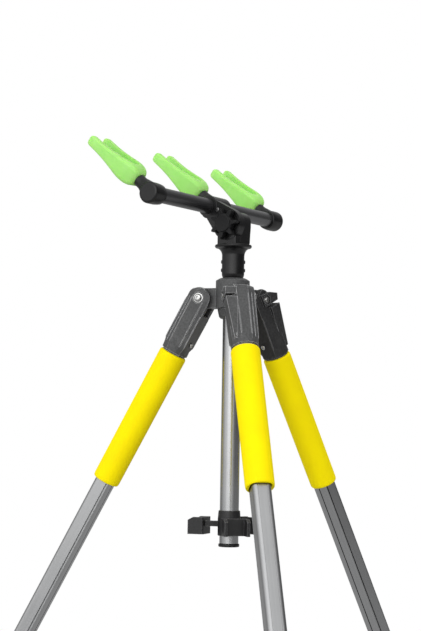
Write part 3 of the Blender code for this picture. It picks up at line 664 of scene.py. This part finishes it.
# ----------------------------------------------------------------- fasteners
def cross_head(head_r, head_h, shank_r, length, size=1.1):
    """Pan-head screw with a cross recess; +Z points out of the head."""
    prof = [(0, -length), (shank_r * 0.6, -length), (shank_r, -length + 0.6), (shank_r, 0), (head_r * 0.97, 0),
            (head_r, head_h * 0.14), (head_r, head_h * 0.42), (head_r * 0.93, head_h * 0.70),
            (head_r * 0.78, head_h * 0.90), (head_r * 0.5, head_h), (0, head_h)]
    bm = lathe(prof, 32)
    w, l, d = size * 0.3, size * 1.5, head_h * 0.6
    arm = box(-l, l, -w, w, head_h - d, head_h + 1)
    cross = box(-w, w, -l, l, head_h - d, head_h + 1)
    return combine(bm, [("DIFFERENCE", arm), ("DIFFERENCE", cross)])


def pivot_bolt_mesh():
    """Flanged button head with a hexagon socket."""
    prof = [(0, -23.2), (BOLT_R - 0.5, -23.2), (BOLT_R, -22.7), (BOLT_R, 17.5), (6.5, 17.5), (6.8, 17.7), (6.8, 18.3),
            (6.5, 18.6), (5.35, 18.7), (5.15, 18.9), (5.1, 20.0), (4.8, 20.9), (4.2, 21.6), (3.4, 22.0),
            (2.6, 22.2), (0, 22.2)]
    bm = lathe(prof, 48)
    return along_y(combine(bm, [("DIFFERENCE", cylinder(2.3, 19.9, 25, n=12, flat=0.866))]))


def nut_mesh(r, hole, h):
    prof = [(hole, 0.25), (hole + 0.25, 0), (r * 0.9, 0), (r, 0.7), (r, h - 0.7), (r * 0.9, h), (hole + 0.25, h),
            (hole, h - 0.25)]
    return lathe(prof, 12, closed=True, flats={3: 0.866, 4: 0.866, 2: 0.93, 5: 0.93})


def along_minus_y(bm):
    bm.transform(Matrix.Rotation(math.radians(90), 4, "X"))
    return bm


def along_minus_x(bm):
    bm.transform(Matrix.Rotation(math.radians(-90), 4, "Y"))
    return bm


piece("head_screw_detail", mesh_of("head_screw_m", along_minus_y(cross_head(2.9, 1.8, 1.6, 7.5)), 30), STEEL_DARK.m,
      "tilt_head", TILTED, "plated_steel", "head_screw", at=(6, -18.3, 23.5))
for _tag, _y in (("left", BAR_OFF - 9.5), ("right", BAR_OFF + 9.5)):
    piece("bar_screw_detail_" + _tag, mesh_of("bar_screw_m", along_minus_x(cross_head(3.3, 2.2, 1.7, 4.0)), 30),
          STEEL_DARK.m, "tilt_head", TILTED, "plated_steel", "bar_screw_" + _tag, at=(-14.8, _y, ARM))
piece("spider_screw_detail", mesh_of("spider_screw_m", along_y(cross_head(3.2, 2.0, 1.8, 2.9)), 30), STEEL.m,
      "column", STAND, "plated_steel", "spider_screw", at=(0, 15.9, -284.5))


# ---------------------------------------------------------------- hub parts
def hub_mesh():
    body = lathe([(15.1, -13.5), (21.3, -13.5), (22.1, -13.2), (HUB_R, -12.4), (HUB_R, 22.6), (22.2, 23.4),
                  (21.4, 24.0), (17.4, 26.3), (16.4, 26.6), (12.9, 26.6), (12.8, 26.5), (12.8, 20.2),
                  (15.1, 20.2)], 72, closed=True)
    side = [(-25, -13.2), (6.4, -13.2), (9.0, -11.7), (11.4, -9.6), (13.1, -7.2), (14.2, -4.6), (14.8, -1.5),
            (14.8, 1.5), (14.2, 4.6), (13.0, 7.4), (10.5, 12.07), (8.0, 13.5), (-25, 13.5)]
    lug = prism([(PIVOT_R + x, z) for x, z in side], -LUG_HALF, LUG_HALF, "Y")
    hole = cylinder(BOLT_R + GAP, -20, 20, "Y", (PIVOT_R, 0, 0), 24)
    steps, holes = [], []
    for _, az in LEG_AZIMUTHS:
        turn = Matrix.Rotation(math.radians(az), 4, "Z")
        for op, src, out in (("UNION", lug, steps), ("DIFFERENCE", hole, holes)):
            bm = src.copy()
            bm.transform(turn)
            out.append((op, bm))
    lug.free()
    hole.free()
    return bevel(combine(body, steps + holes), 0.7, 2)


def ring_mesh():
    n = 96
    loops = []
    for r, z, rib in ((12.9, -27.2, 0), (14.6, -27.2, 0), (15.2, -27.0, 0), (16.4, -26.1, 0.0), (17.5, -24.9, 0.55),
                      (17.7, -24.3, 0.6), (19.6, -15.8, 0.6), (19.7, -15.2, 0.5), (19.5, -14.3, 0), (19.0, -13.9, 0),
                      (15.2, -13.9, 0), (15.1, -14.1, 0), (15.1, -22.4, 0), (12.8, -22.4, 0), (12.8, -27.0, 0)):
        ring = []
        for i in range(n):
            a = 2 * math.pi * i / n
            q = r - rib * (0.5 - 0.5 * math.cos(24 * a)) ** 2
            ring.append(Vector((q * math.cos(a), q * math.sin(a), z)))
        loops.append(ring)
    return skin(loops, closed=True)


def spider_mesh():
    collar = lathe([(COL_R + GAP, -311.8), (13.0, -312), (14.0, -312), (14.6, -311.8), (15.0, -311.0), (15.0, -289.5),
                    (14.8, -287.5), (14.2, -279.8), (13.9, -279.2), (13.5, -279.0), (13.0, -279.0),
                    (COL_R + GAP, -279.2)], 64, closed=True)
    inner, outer, half, wall = 30.8, 52.1, 17.0, 4.35
    u = [(inner, -half + 2.5), (inner + 0.8, -half + 0.8), (inner + 2.5, -half), (outer - 1, -half),
         (outer, -half + 1), (outer, -half + wall - 0.8), (outer - 0.8, -half + wall), (inner + 4.3, -half + wall),
         (inner + 3.5, -half + wall + 0.8), (inner + 3.5, half - wall - 0.8), (inner + 4.3, half - wall),
         (outer - 0.8, half - wall), (outer, half - wall + 0.8), (outer, half - 1), (outer - 1, half),
         (inner + 2.5, half), (inner + 0.8, half - 0.8), (inner, half - 2.5)]
    clip = prism(u, -310.5, -288.2)
    # the arms' ends slope down towards their tips on top
    slope = prism([(44.0, -280), (60, -280), (60, -295.5), (52.2, -292.2), (44.0, -287.9)], -30, 30, "Y")
    web = skin([[Vector((x, y, z)) for y, z in ((-w, -300.2), (w, -300.2), (w, -292.8 - s), (-w, -292.8 - s))]
                for x, w, s in ((14.0, 5.6, 0.0), (18.0, 4.4, 0.2), (23.0, 3.9, 0.3), (28.0, 4.4, 0.2), (31.8, 5.6, 0.0))])
    steps = []
    for _, az in LEG_AZIMUTHS:
        turn = Matrix.Rotation(math.radians(az), 4, "Z")
        one = combine(clip.copy(), [("DIFFERENCE", slope.copy())])
        for src in (web, one):
            bm = src.copy()
            bm.transform(turn)
            steps.append(("UNION", bm))
    steps.append(("DIFFERENCE", cylinder(2.1, 12.0, 20.0, "Y", (0, 0, -284.5), 20)))
    return bevel(combine(collar, steps), 0.45, 2)


def seam(top, foot, z_top, z_foot, r=0.85):
    """Thin round bead between two points, with pointed ends."""
    a, b = Vector((*top, z_top)), Vector((*foot, z_foot))
    loops = []
    for t, q in ((0, 0.25), (0.03, 0.8), (0.08, 1), (0.5, 1), (0.92, 1), (0.97, 0.8), (1, 0.25)):
        c = a.lerp(b, t)
        loops.append([c + Vector((q * r * math.cos(math.radians(45 * i + 20)), q * r * math.sin(math.radians(45 * i + 20)), 0))
                      for i in range(8)])
    return skin(loops)


def clevis_mesh():
    half = [(CLEVIS_OUT, 0), (CLEVIS_OUT, 7.6), (13.2, 13.2), (7.5, CLEVIS_HALF),
            (-1.0, CLEVIS_HALF), (-9.0, CLEVIS_HALF), (-CLEVIS_IN, 17.2), (-CLEVIS_IN, 8.0),
            (-CLEVIS_IN, 0)]
    base = half + [(x, -y) for x, y in reversed(half[1:-1])]
    n = len(base)

    def section(z, squash=1.0, narrow=1.0, to_round=0.0, r=18.2):
        out = []
        for i, (x, y) in enumerate(base):
            a = 2 * math.pi * i / n
            px, py = x * squash, y * narrow
            out.append(Vector((px + (r * math.cos(a) - px) * to_round,
                               py + (r * math.sin(a) - py) * to_round, z)))
        return out
    loops = [section(z, math.sqrt(1 - (z / 14.5) ** 2)) for z in (14.3, 13.7, 12.6, 11.0, 9.0, 6.6, 4.0, 1.6)]
    loops += [section(0), section(-66, 1, 0.935), section(-72, 1, 0.93, 0.6),
              section(-77, 1, 0.93, 1.0), section(-80.0, 1, 0.93, 1.0), section(-80.1, 1, 0.93, 1.0, 16.3),
              section(-CLEVIS_END, 1, 0.93, 1.0, 16.3)]
    block = prism([(-7, -7.6), (17.8, -7.6), (21.0, 0.9), (8.3, 7.9), (-7, 9.0)], -22.6, -8, "Y")
    panel = skin([flat_loop([(4, -15.5), (13.5, -15.5), (13.5, -8), (4, -8)], -72.0),
                  flat_loop([(2, -22.5), (18.8, -22.5), (18.8, -8), (2, -8)], -12.5)])
    slot = box(-30, CLEVIS_OUT - 3.2, -SLOT_HALF, SLOT_HALF, -20, 30)
    socket = prism(rounded_square(LEG_W + 2 * GAP, LEG_R, 9), -24, -90)
    bm = combine(skin(loops), [
        ("UNION", panel),
        ("UNION", block),
        ("DIFFERENCE", slot),
        ("DIFFERENCE", socket),
        ("DIFFERENCE", cylinder(BOLT_R + GAP, -30, 30, "Y", n=24)),
        ("DIFFERENCE", cylinder(7.6, 17.2, 30, "Y", n=48)),
        ("DIFFERENCE", cylinder(6.6, -30, -16.6, "Y", n=12, flat=0.866)),
        ("DIFFERENCE", cylinder(2.1, -30, -10, "X", (0, 0, SCREW_Z), 20)),
    ])
    bm = bevel(bm, 0.6, 2, 22)
    # raised seams down the facet edges
    seams = [((8.6, 18.3), (7.6, 17.1), -2.0, -69.0), ((-8.8, 18.9), (-8.8, 17.6), -3.0, -70.0),
             ((-15.2, 16.9), (-15.2, 15.9), -21.0, -68.0), ((13.5, 13.0), (13.4, 12.2), -3.0, -70.0),
             ((13.5, -13.0), (13.4, -12.2), -34.0, -70.0), ((18.4, 7.4), (18.4, 6.9), -6.0, -68.0),
             ((18.4, -7.4), (18.4, -6.9), -26.0, -68.0), ((-15.2, -16.9), (-15.2, -15.9), -21.0, -68.0)]
    return combine(bm, [("UNION", seam(*one)) for one in seams])


piece("hub_shell", mesh_of("hub", hub_mesh(), 30), GREY_HUB.m, "hub", STAND, "grey_nylon", "hub")
piece("lock_ring_shell", mesh_of("lock_ring_m", ring_mesh(), 40), GREY_HUB.m, "lock_ring", STAND, "grey_nylon", "lock_ring")
piece("spider_shell", mesh_of("spider", spider_mesh(), 30), SPIDER.m, "column", STAND, "black_nylon", "leg_clip_spider")


def column_mesh():
    c = 0.3
    prof = [(COL_R - COL_WALL, COL_BOTTOM + c), (COL_R - COL_WALL + c, COL_BOTTOM), (COL_R - c, COL_BOTTOM),
            (COL_R, COL_BOTTOM + c)]
    cuts = 16
    prof += [(COL_R, COL_BOTTOM + (COL_TOP - COL_BOTTOM) * k / cuts) for k in range(1, cuts)]
    prof += [(COL_R, COL_TOP - c), (COL_R - c, COL_TOP), (COL_R - COL_WALL + c, COL_TOP), (COL_R - COL_WALL, COL_TOP - c)]
    return lathe(prof, 72, closed=True)


def end_cap_mesh():
    prof = [(0, -326.5), (9.0, -326.5), (12.6, -326.4), (13.4, -326.0), (13.8, -325.3), (13.8, -323.0),
            (13.6, -322.5), (13.3, COL_BOTTOM - GAP), (10.8, COL_BOTTOM - GAP), (10.4, -306), (0, -306)]
    return lathe(prof, 64)


piece("column_skin", mesh_of("column_m", column_mesh(), 30), ALU_COLUMN.m, "column", STAND, "leg_aluminium", "centre_column")
piece("end_cap_shell", mesh_of("end_cap", end_cap_mesh(), 35), BLACK.m, "column", STAND, "black_nylon", "column_end_cap")


# ---------------------------------------------------------------------- legs
def foam_mesh():
    """Foam tube over the leg, with softly rounded ends."""
    bore = rounded_square(LEG_W + 2 * GAP, LEG_R, 16)
    n = len(bore)
    t, b = -FOAM_TOP, -FOAM_END

    def ring(r, z):
        return circle(r, z, n, math.radians(45.0 / 16))
    rings = [flat_loop(bore, t - 0.2), ring(16.0, t - 0.1), ring(17.1, t - 0.4), ring(18.0, t - 1.0), ring(18.6, t - 2.0),
             ring(FOAM_R, t - 3.2)]
    cuts = 24
    for k in range(1, cuts):
        f = k / cuts
        rings.append(ring(FOAM_R + (FOAM_R_LOW - FOAM_R) * f, t - 3.2 + (b + 4.2 - t + 3.2) * f))
    wide = rounded_square(LEG_W + 3.4, LEG_R + 1.2, 16)
    rings += [ring(FOAM_R_LOW, b + 4.2), ring(18.2, b + 2.3), ring(17.8, b + 1.0), ring(17.2, b + 0.25), ring(16.8, b),
              flat_loop(wide, b + 0.1), flat_loop(rounded_square(LEG_W + 3.0, LEG_R + 1.1, 16), b + 2.6),
              flat_loop(bore, b + 3.4)]
    return skin(rings, closed=True)


def leg_outline():
    """Extruded leg profile: rounded outer corners, side grooves, two shallow slopes and a groove inside."""
    w = LEG_W / 2
    q = [(w, 0.0), (w, 5.2), (w - 0.35, 5.5), (w - 0.35, 5.9), (w - 0.02, 6.1)]
    for a in (8, 20, 34, 48, 62, 76, 90):
        q.append((w - 5.7 + 5.7 * math.cos(math.radians(a)), w - 5.7 + 5.7 * math.sin(math.radians(a))))
    q += [(-6.2, w), (-6.4, w - 1.6), (-8.0, w - 1.6), (-8.2, w - 0.1)]
    for a in (90, 120, 150, 175):
        q.append((-w + 2.9 + 2.2 * math.cos(math.radians(a)), w - 2.2 + 2.2 * math.sin(math.radians(a))))
    q += [(-w, 1.1), (-w + 1.4, 0.85), (-w + 1.4, 0.0)]
    return q + [(x, -y) for x, y in reversed(q[1:-1])]


def upper_leg_mesh():
    outer = leg_outline()
    inner = [(x * 0.80, y * 0.80) for x, y in rounded_square(LEG_W, LEG_R, 9)]
    body = prism(outer, -UPPER_END, -UPPER_TOP)
    bore = prism(inner, -UPPER_END - 5, -UPPER_TOP + 5)
    bm = combine(body, [("DIFFERENCE", bore),
                        ("DIFFERENCE", cylinder(2.1, -30, -5, "X", (0, 0, SCREW_Z), 20))])
    return bevel(bm, 0.18, 1, 40)


def lower_leg_mesh():
    out = rounded_square(INNER_W, INNER_R, 8)
    inn = rounded_square(INNER_W - 2 * INNER_WALL, INNER_R - INNER_WALL, 8)
    return skin([flat_loop(out, -LOWER_END), flat_loop(out, -LOWER_TOP), flat_loop(inn, -LOWER_TOP),
                 flat_loop(inn, -LOWER_END)], closed=True)


def clamp_mesh():
    def ring(w, z, r=8.0):
        return flat_loop(rounded_square(w, r, 8), z)
    body = skin([ring(31.0, -CLAMP_TOP, 6.6), ring(33.0, -CLAMP_TOP - 0.8, 7.6), ring(34.0, -CLAMP_TOP - 2.0),
                 ring(34.0, -CLAMP_END + 6.0), ring(33.6, -CLAMP_END + 4.0), ring(32.4, -CLAMP_END + 1.4, 7.4),
                 ring(31.0, -CLAMP_END, 7.0)])
    ear = hull(disc(21.5, -549, 4.6, 28) + [(14, -543.4), (14, -556)])
    steps = [("UNION", prism(ear, 6.4, 10.4, "Y")), ("UNION", prism(ear, -10.4, -6.4, "Y"))]
    for z in (-571.0, -575.5, -580.0):
        for sy in (1, -1):
            y0, y1 = (16.4, 18.0) if sy > 0 else (-18.0, -16.4)
            steps.append(("DIFFERENCE", box(-9, 9, y0, y1, z - 0.9, z + 0.9)))
    steps += [("DIFFERENCE", prism(rounded_square(LEG_W + 2 * GAP, LEG_R, 9), -UPPER_END - GAP, -CLAMP_TOP + 5)),
              ("DIFFERENCE", prism(rounded_square(INNER_W + 2 * GAP, INNER_R, 8), -CLAMP_END - 5, -UPPER_END + 2)),
              ("DIFFERENCE", cylinder(2.3, -20, 20, "Y", (21.5, 0, -549), 20))]
    return bevel(combine(body, steps), 0.5, 2)


def lever_mesh():
    side = [(3.9, 0.5), (3.5, 1.9), (2.8, 3.0), (1.5, 3.8), (0, 4.1), (-1.5, 3.8), (-2.8, 3.0), (-3.6, 1.6), (-3.9, 0),
            (-3.9, -30.0), (-3.5, -34.5), (-2.6, -38.5), (-1.2, -41.2), (0.6, -42.5), (2.0, -42.3), (2.6, -41.0),
            (2.1, -38.0), (1.6, -34.0), (1.5, -28.0), (1.7, -18.0), (2.0, -8.0)]
    steps = [("DIFFERENCE", cylinder(2.3, -9, 9, "Y", n=20))]
    for z in (-30.0, -33.0, -36.0):
        steps.append(("DIFFERENCE", box(1.25, 4, -4.6, 4.6, z - 0.55, z + 0.55)))
    return bevel(combine(prism(side, -6.0, 6.0, "Y"), steps), 0.45, 2)


def foot_mesh():
    def ring(w, z, r):
        return flat_loop(rounded_square(w, r, 9), z)
    body = skin([ring(24.2, -FOOT_TOP, 7.0), ring(25.4, -FOOT_TOP - 0.5, 7.6), ring(26.8, -FOOT_TOP - 2, 8.4),
                 ring(27.4, -FOOT_TOP - 8, 8.9), ring(28.0, -FOOT_S + 22, 9.5), ring(29.4, -FOOT_S + 17, 10.6),
                 ring(32.2, -FOOT_S + 12, 12.6), ring(33.6, -FOOT_S + 9, 13.6), ring(34.0, -FOOT_S + 6, 14.0),
                 ring(34.0, -FOOT_S - 30, 14.0)])
    turn = Matrix.Translation((0, 0, -FOOT_S)) @ Matrix.Rotation(SPLAY, 4, "Y")
    ground = box(-60, 60, -60, 60, -60, 0)
    ground.transform(turn)
    steps = [("DIFFERENCE", ground)]
    for x in (-14, -9, -4, 1, 6, 11):
        tread = box(x, x + 1.6, -40, 40, -5, 1.6)
        tread.transform(turn)
        steps.append(("DIFFERENCE", tread))
    steps.append(("DIFFERENCE", prism(rounded_square(INNER_W + 2 * GAP, INNER_R, 8), -LOWER_END - GAP, -FOOT_TOP + 5)))
    return bevel(combine(body, steps), 0.4, 2, 30)


CLEVIS = mesh_of("clevis", clevis_mesh(), 30)
CLEVIS_SHADED = CLEVIS.copy()
FOAM_M = mesh_of("foam", foam_mesh(), 60)
UPPER = mesh_of("upper_leg", upper_leg_mesh(), 30)
LOWER = mesh_of("lower_leg", lower_leg_mesh(), 30)
CLAMP = mesh_of("clamp", clamp_mesh(), 30)
LEVER = mesh_of("lever", lever_mesh(), 30)
FOOT = mesh_of("foot", foot_mesh(), 30)
BOLT = mesh_of("pivot_bolt_m", pivot_bolt_mesh(), 30)
NUT = mesh_of("pivot_nut_m", along_y(nut_mesh(5.77, BOLT_R + GAP, 4.7)), 30)
SCREW = mesh_of("clevis_screw_m", along_minus_x(cross_head(3.4, 2.4, 1.7, 6.2)), 30)
for _tag, _ in LEG_AZIMUTHS:
    _leg, _m = "leg_" + _tag, LEGS[_tag]
    # the right clevis takes the darker copy of the grey: painted shade
    _shell, _clevis_paint = (CLEVIS_SHADED, GREY_SHADED) if _tag == "right" else (CLEVIS, GREY)
    piece("clevis_shell_" + _tag, _shell, _clevis_paint.m, _leg, _m, "grey_nylon", "clevis_" + _tag)
    piece("bolt_detail_" + _tag, BOLT, STEEL.m, _leg, _m, "plated_steel", "pivot_bolt_" + _tag)
    piece("nut_detail_" + _tag, NUT, STEEL.m, _leg, _m, "plated_steel", "pivot_nut_" + _tag, at=(0, -21.6, 0))
    piece("clevis_screw_detail_" + _tag, SCREW, STEEL.m, _leg, _m, "plated_steel", "clevis_screw_" + _tag,
          at=(-CLEVIS_IN - GAP, 0, SCREW_Z))
    _grip = piece("foam_sleeve_" + _tag, FOAM_M, FOAM.m, _leg, _m, "yellow_foam", "foam_grip_" + _tag)
    piece("upper_tube_" + _tag, UPPER, ALU.m, _leg, _m, "leg_aluminium", "upper_leg_" + _tag)
    piece("clamp_shell_" + _tag, CLAMP, BLACK_LEG.m, _leg, _m, "black_nylon", "clamp_body_" + _tag)
    piece("lever_shell_" + _tag, LEVER, BLACK_LEG.m, "lever_" + _tag, _m, "black_nylon", "clamp_lever_" + _tag,
          at=(21.5, 0, -549))
    piece("lower_tube_" + _tag, LOWER, ALU.m, "lower_leg_" + _tag, _m, "leg_aluminium", "lower_leg_" + _tag)
    piece("foot_boot_" + _tag, FOOT, RUBBER.m, "lower_leg_" + _tag, _m, "black_rubber", "foot_" + _tag)

# --------------------------------------------- CAD nodes that keep their shape
KEPT = {"collet_bush": WHITE.m, "pan_bolt": STEEL.m, "tilt_bolt": STEEL.m, "tilt_washer": STEEL.m,
        "rest_stud_left": STEEL.m, "rest_stud_middle": STEEL.m, "rest_stud_right": STEEL.m,
        "lever_pin_left": STEEL.m, "lever_pin_front": STEEL.m, "lever_pin_right": STEEL.m}
for _name, _mat in KEPT.items():
    _ob = frame["nodes"][_name]
    for _slot in _ob.material_slots:
        _slot.material = _mat


# ---------------------------------------------------------------- the studio
def camera():
    """The photograph's viewpoint: just below the hub, a little to its left."""
    turn = Matrix.Rotation(math.radians(-12.15), 4, "Z")
    place = Vector((0, COLUMN_Y * MM, PIVOT_Z * MM)) + turn @ Vector((0, -2.2005, -0.1834))
    yaw, pitch, roll = (math.radians(a) for a in (-0.752, 4.17, 0.94))
    ahead = turn @ Vector((math.sin(yaw) * math.cos(pitch), math.cos(yaw) * math.cos(pitch), math.sin(pitch)))
    right = ahead.cross(Vector((0, 0, 1))).normalized()
    up = right.cross(ahead)
    c, s = math.cos(roll), math.sin(roll)
    r2, u2 = right * c + up * s, up * c - right * s
    data = bpy.data.cameras.new("camera")
    data.lens = 1667.1 * 36 / 631
    data.sensor_width = 36
    data.clip_end = 60
    ob = bpy.data.objects.new("camera", data)
    bpy.context.scene.collection.objects.link(ob)
    ob.matrix_world = Matrix(((r2.x, u2.x, -ahead.x, place.x), (r2.y, u2.y, -ahead.y, place.y),
                              (r2.z, u2.z, -ahead.z, place.z), (0, 0, 0, 1)))
    bpy.context.scene.camera = ob


def softbox(name, at, target, size, power, color=(1, 1, 1)):
    data = bpy.data.lights.new(name, "AREA")
    data.shape = "RECTANGLE"
    data.size, data.size_y = size
    data.energy = power
    data.color = color
    ob = bpy.data.objects.new(name, data)
    bpy.context.scene.collection.objects.link(ob)
    ob.location = at
    ob.rotation_euler = (Vector(target) - Vector(at)).to_track_quat("-Z", "Y").to_euler()
    return ob


def floor():
    """Pale floor that fades into the white backdrop with distance."""
    n = 96
    bm = skin([circle(14000.0, 0, n), [Vector((0, 0, 0))]], caps=False)
    bm.transform(Matrix.Scale(MM, 4))
    me = bpy.data.meshes.new("floor")
    bm.to_mesh(me)
    bm.free()
    ob = bpy.data.objects.new("floor", me)
    bpy.context.scene.collection.objects.link(ob)
    ob.location.z = -0.0003
    p = Paint("floor_paper", (0.93, 0.93, 0.93), 0.8)
    tc = p.node("ShaderNodeTexCoord")
    ln = p.nt.nodes.new("ShaderNodeVectorMath")
    ln.operation = "LENGTH"
    p.nt.links.new(tc.outputs["Object"], ln.inputs[0])
    far = p.ramp(ln.outputs["Value"], 0.9, 2.6, 0.0, 1.0)
    p.b.inputs["Specular IOR Level"].default_value = 0.1
    em = p.node("ShaderNodeEmission")
    em.inputs["Color"].default_value = (1, 1, 1, 1)
    em.inputs["Strength"].default_value = 1.0
    mx = p.nt.nodes.new("ShaderNodeMixShader")
    p.nt.links.new(far, mx.inputs[0])
    p.nt.links.new(p.b.outputs[0], mx.inputs[1])
    p.nt.links.new(em.outputs[0], mx.inputs[2])
    low = p.node("ShaderNodeEmission")
    low.inputs["Color"].default_value = (1, 1, 1, 1)
    low.inputs["Strength"].default_value = 0.44
    ray = p.node("ShaderNodeLightPath")
    both = p.nt.nodes.new("ShaderNodeMixShader")
    p.nt.links.new(ray.outputs["Is Camera Ray"], both.inputs[0])
    p.nt.links.new(low.outputs[0], both.inputs[1])
    p.nt.links.new(mx.outputs[0], both.inputs[2])
    p.nt.links.new(both.outputs[0], p.nt.nodes["Material Output"].inputs["Surface"])
    p.m.cycles.emission_sampling = "NONE"
    me.materials.append(p.m)


def world():
    """White backdrop for the camera; a dome with a soft bright side lights the stand."""
    w = bpy.data.worlds.new("studio")
    bpy.context.scene.world = w
    w.use_nodes = True
    nt = w.node_tree
    nt.nodes.clear()

    def lobe(azimuth, height, gain, lo=0.55, hi=1.0):
        a, h = math.radians(azimuth), math.radians(height)
        dot = nt.nodes.new("ShaderNodeVectorMath")
        dot.operation = "DOT_PRODUCT"
        nt.links.new(tc.outputs["Generated"], dot.inputs[0])
        dot.inputs[1].default_value = (math.cos(a) * math.cos(h), math.sin(a) * math.cos(h), math.sin(h))
        mr = nt.nodes.new("ShaderNodeMapRange")
        mr.interpolation_type = "SMOOTHSTEP"
        nt.links.new(dot.outputs["Value"], mr.inputs["Value"])
        for key, value in (("From Min", lo), ("From Max", hi), ("To Min", 0.0), ("To Max", gain)):
            mr.inputs[key].default_value = value
        return mr.outputs["Result"]

    def plus(a, b):
        n = nt.nodes.new("ShaderNodeMath")
        n.operation = "ADD"
        nt.links.new(a, n.inputs[0])
        if isinstance(b, float):
            n.inputs[1].default_value = b
        else:
            nt.links.new(b, n.inputs[1])
        return n.outputs[0]
    tc = nt.nodes.new("ShaderNodeTexCoord")
    total = plus(lobe(255, 10, 1.45, 0.68), 0.06)
    for azimuth, height, gain in ((223, 10, 0.75), (188, 12, 0.42), (153, 8, 0.16), (28, 45, 0.10), (285, 48, 0.42),
                                  (225, 50, 0.22), (258, 82, 0.45), (80, 25, 0.40)):
        total = plus(total, lobe(azimuth, height, gain))
    out = nt.nodes.new("ShaderNodeOutputWorld")
    seen = nt.nodes.new("ShaderNodeBackground")
    seen.inputs["Color"].default_value = (1, 1, 1, 1)
    seen.inputs["Strength"].default_value = 1.0
    room = nt.nodes.new("ShaderNodeBackground")
    room.inputs["Color"].default_value = (1, 1, 1, 1)
    nt.links.new(total, room.inputs["Strength"])
    lp = nt.nodes.new("ShaderNodeLightPath")
    mx = nt.nodes.new("ShaderNodeMixShader")
    nt.links.new(lp.outputs["Is Camera Ray"], mx.inputs[0])
    nt.links.new(room.outputs[0], mx.inputs[1])
    nt.links.new(seen.outputs[0], mx.inputs[2])
    nt.links.new(mx.outputs[0], out.inputs["Surface"])


camera()
world()
floor()
AIM = (0, 0.12, 0.75)
softbox("side", (-2.00, -1.35, 0.80), AIM, (1.4, 1.4), 9).visible_glossy = False
softbox("fill", (1.28, -1.88, 0.95), AIM, (1.4, 1.4), 9).visible_glossy = False
softbox("above", (1.1, 0.9, 2.7), (0, 0.12, 0.95), (1.6, 1.6), 16).visible_glossy = False
softbox("rear_left", (-1.7, 1.9, 1.3), AIM, (1.6, 1.6), 10).visible_glossy = False
softbox("rear_right", (1.5, 2.1, 1.3), AIM, (1.6, 1.6), 10).visible_glossy = False
bpy.context.scene.view_settings.view_transform = "Standard"
bpy.context.scene.view_settings.look = "None"
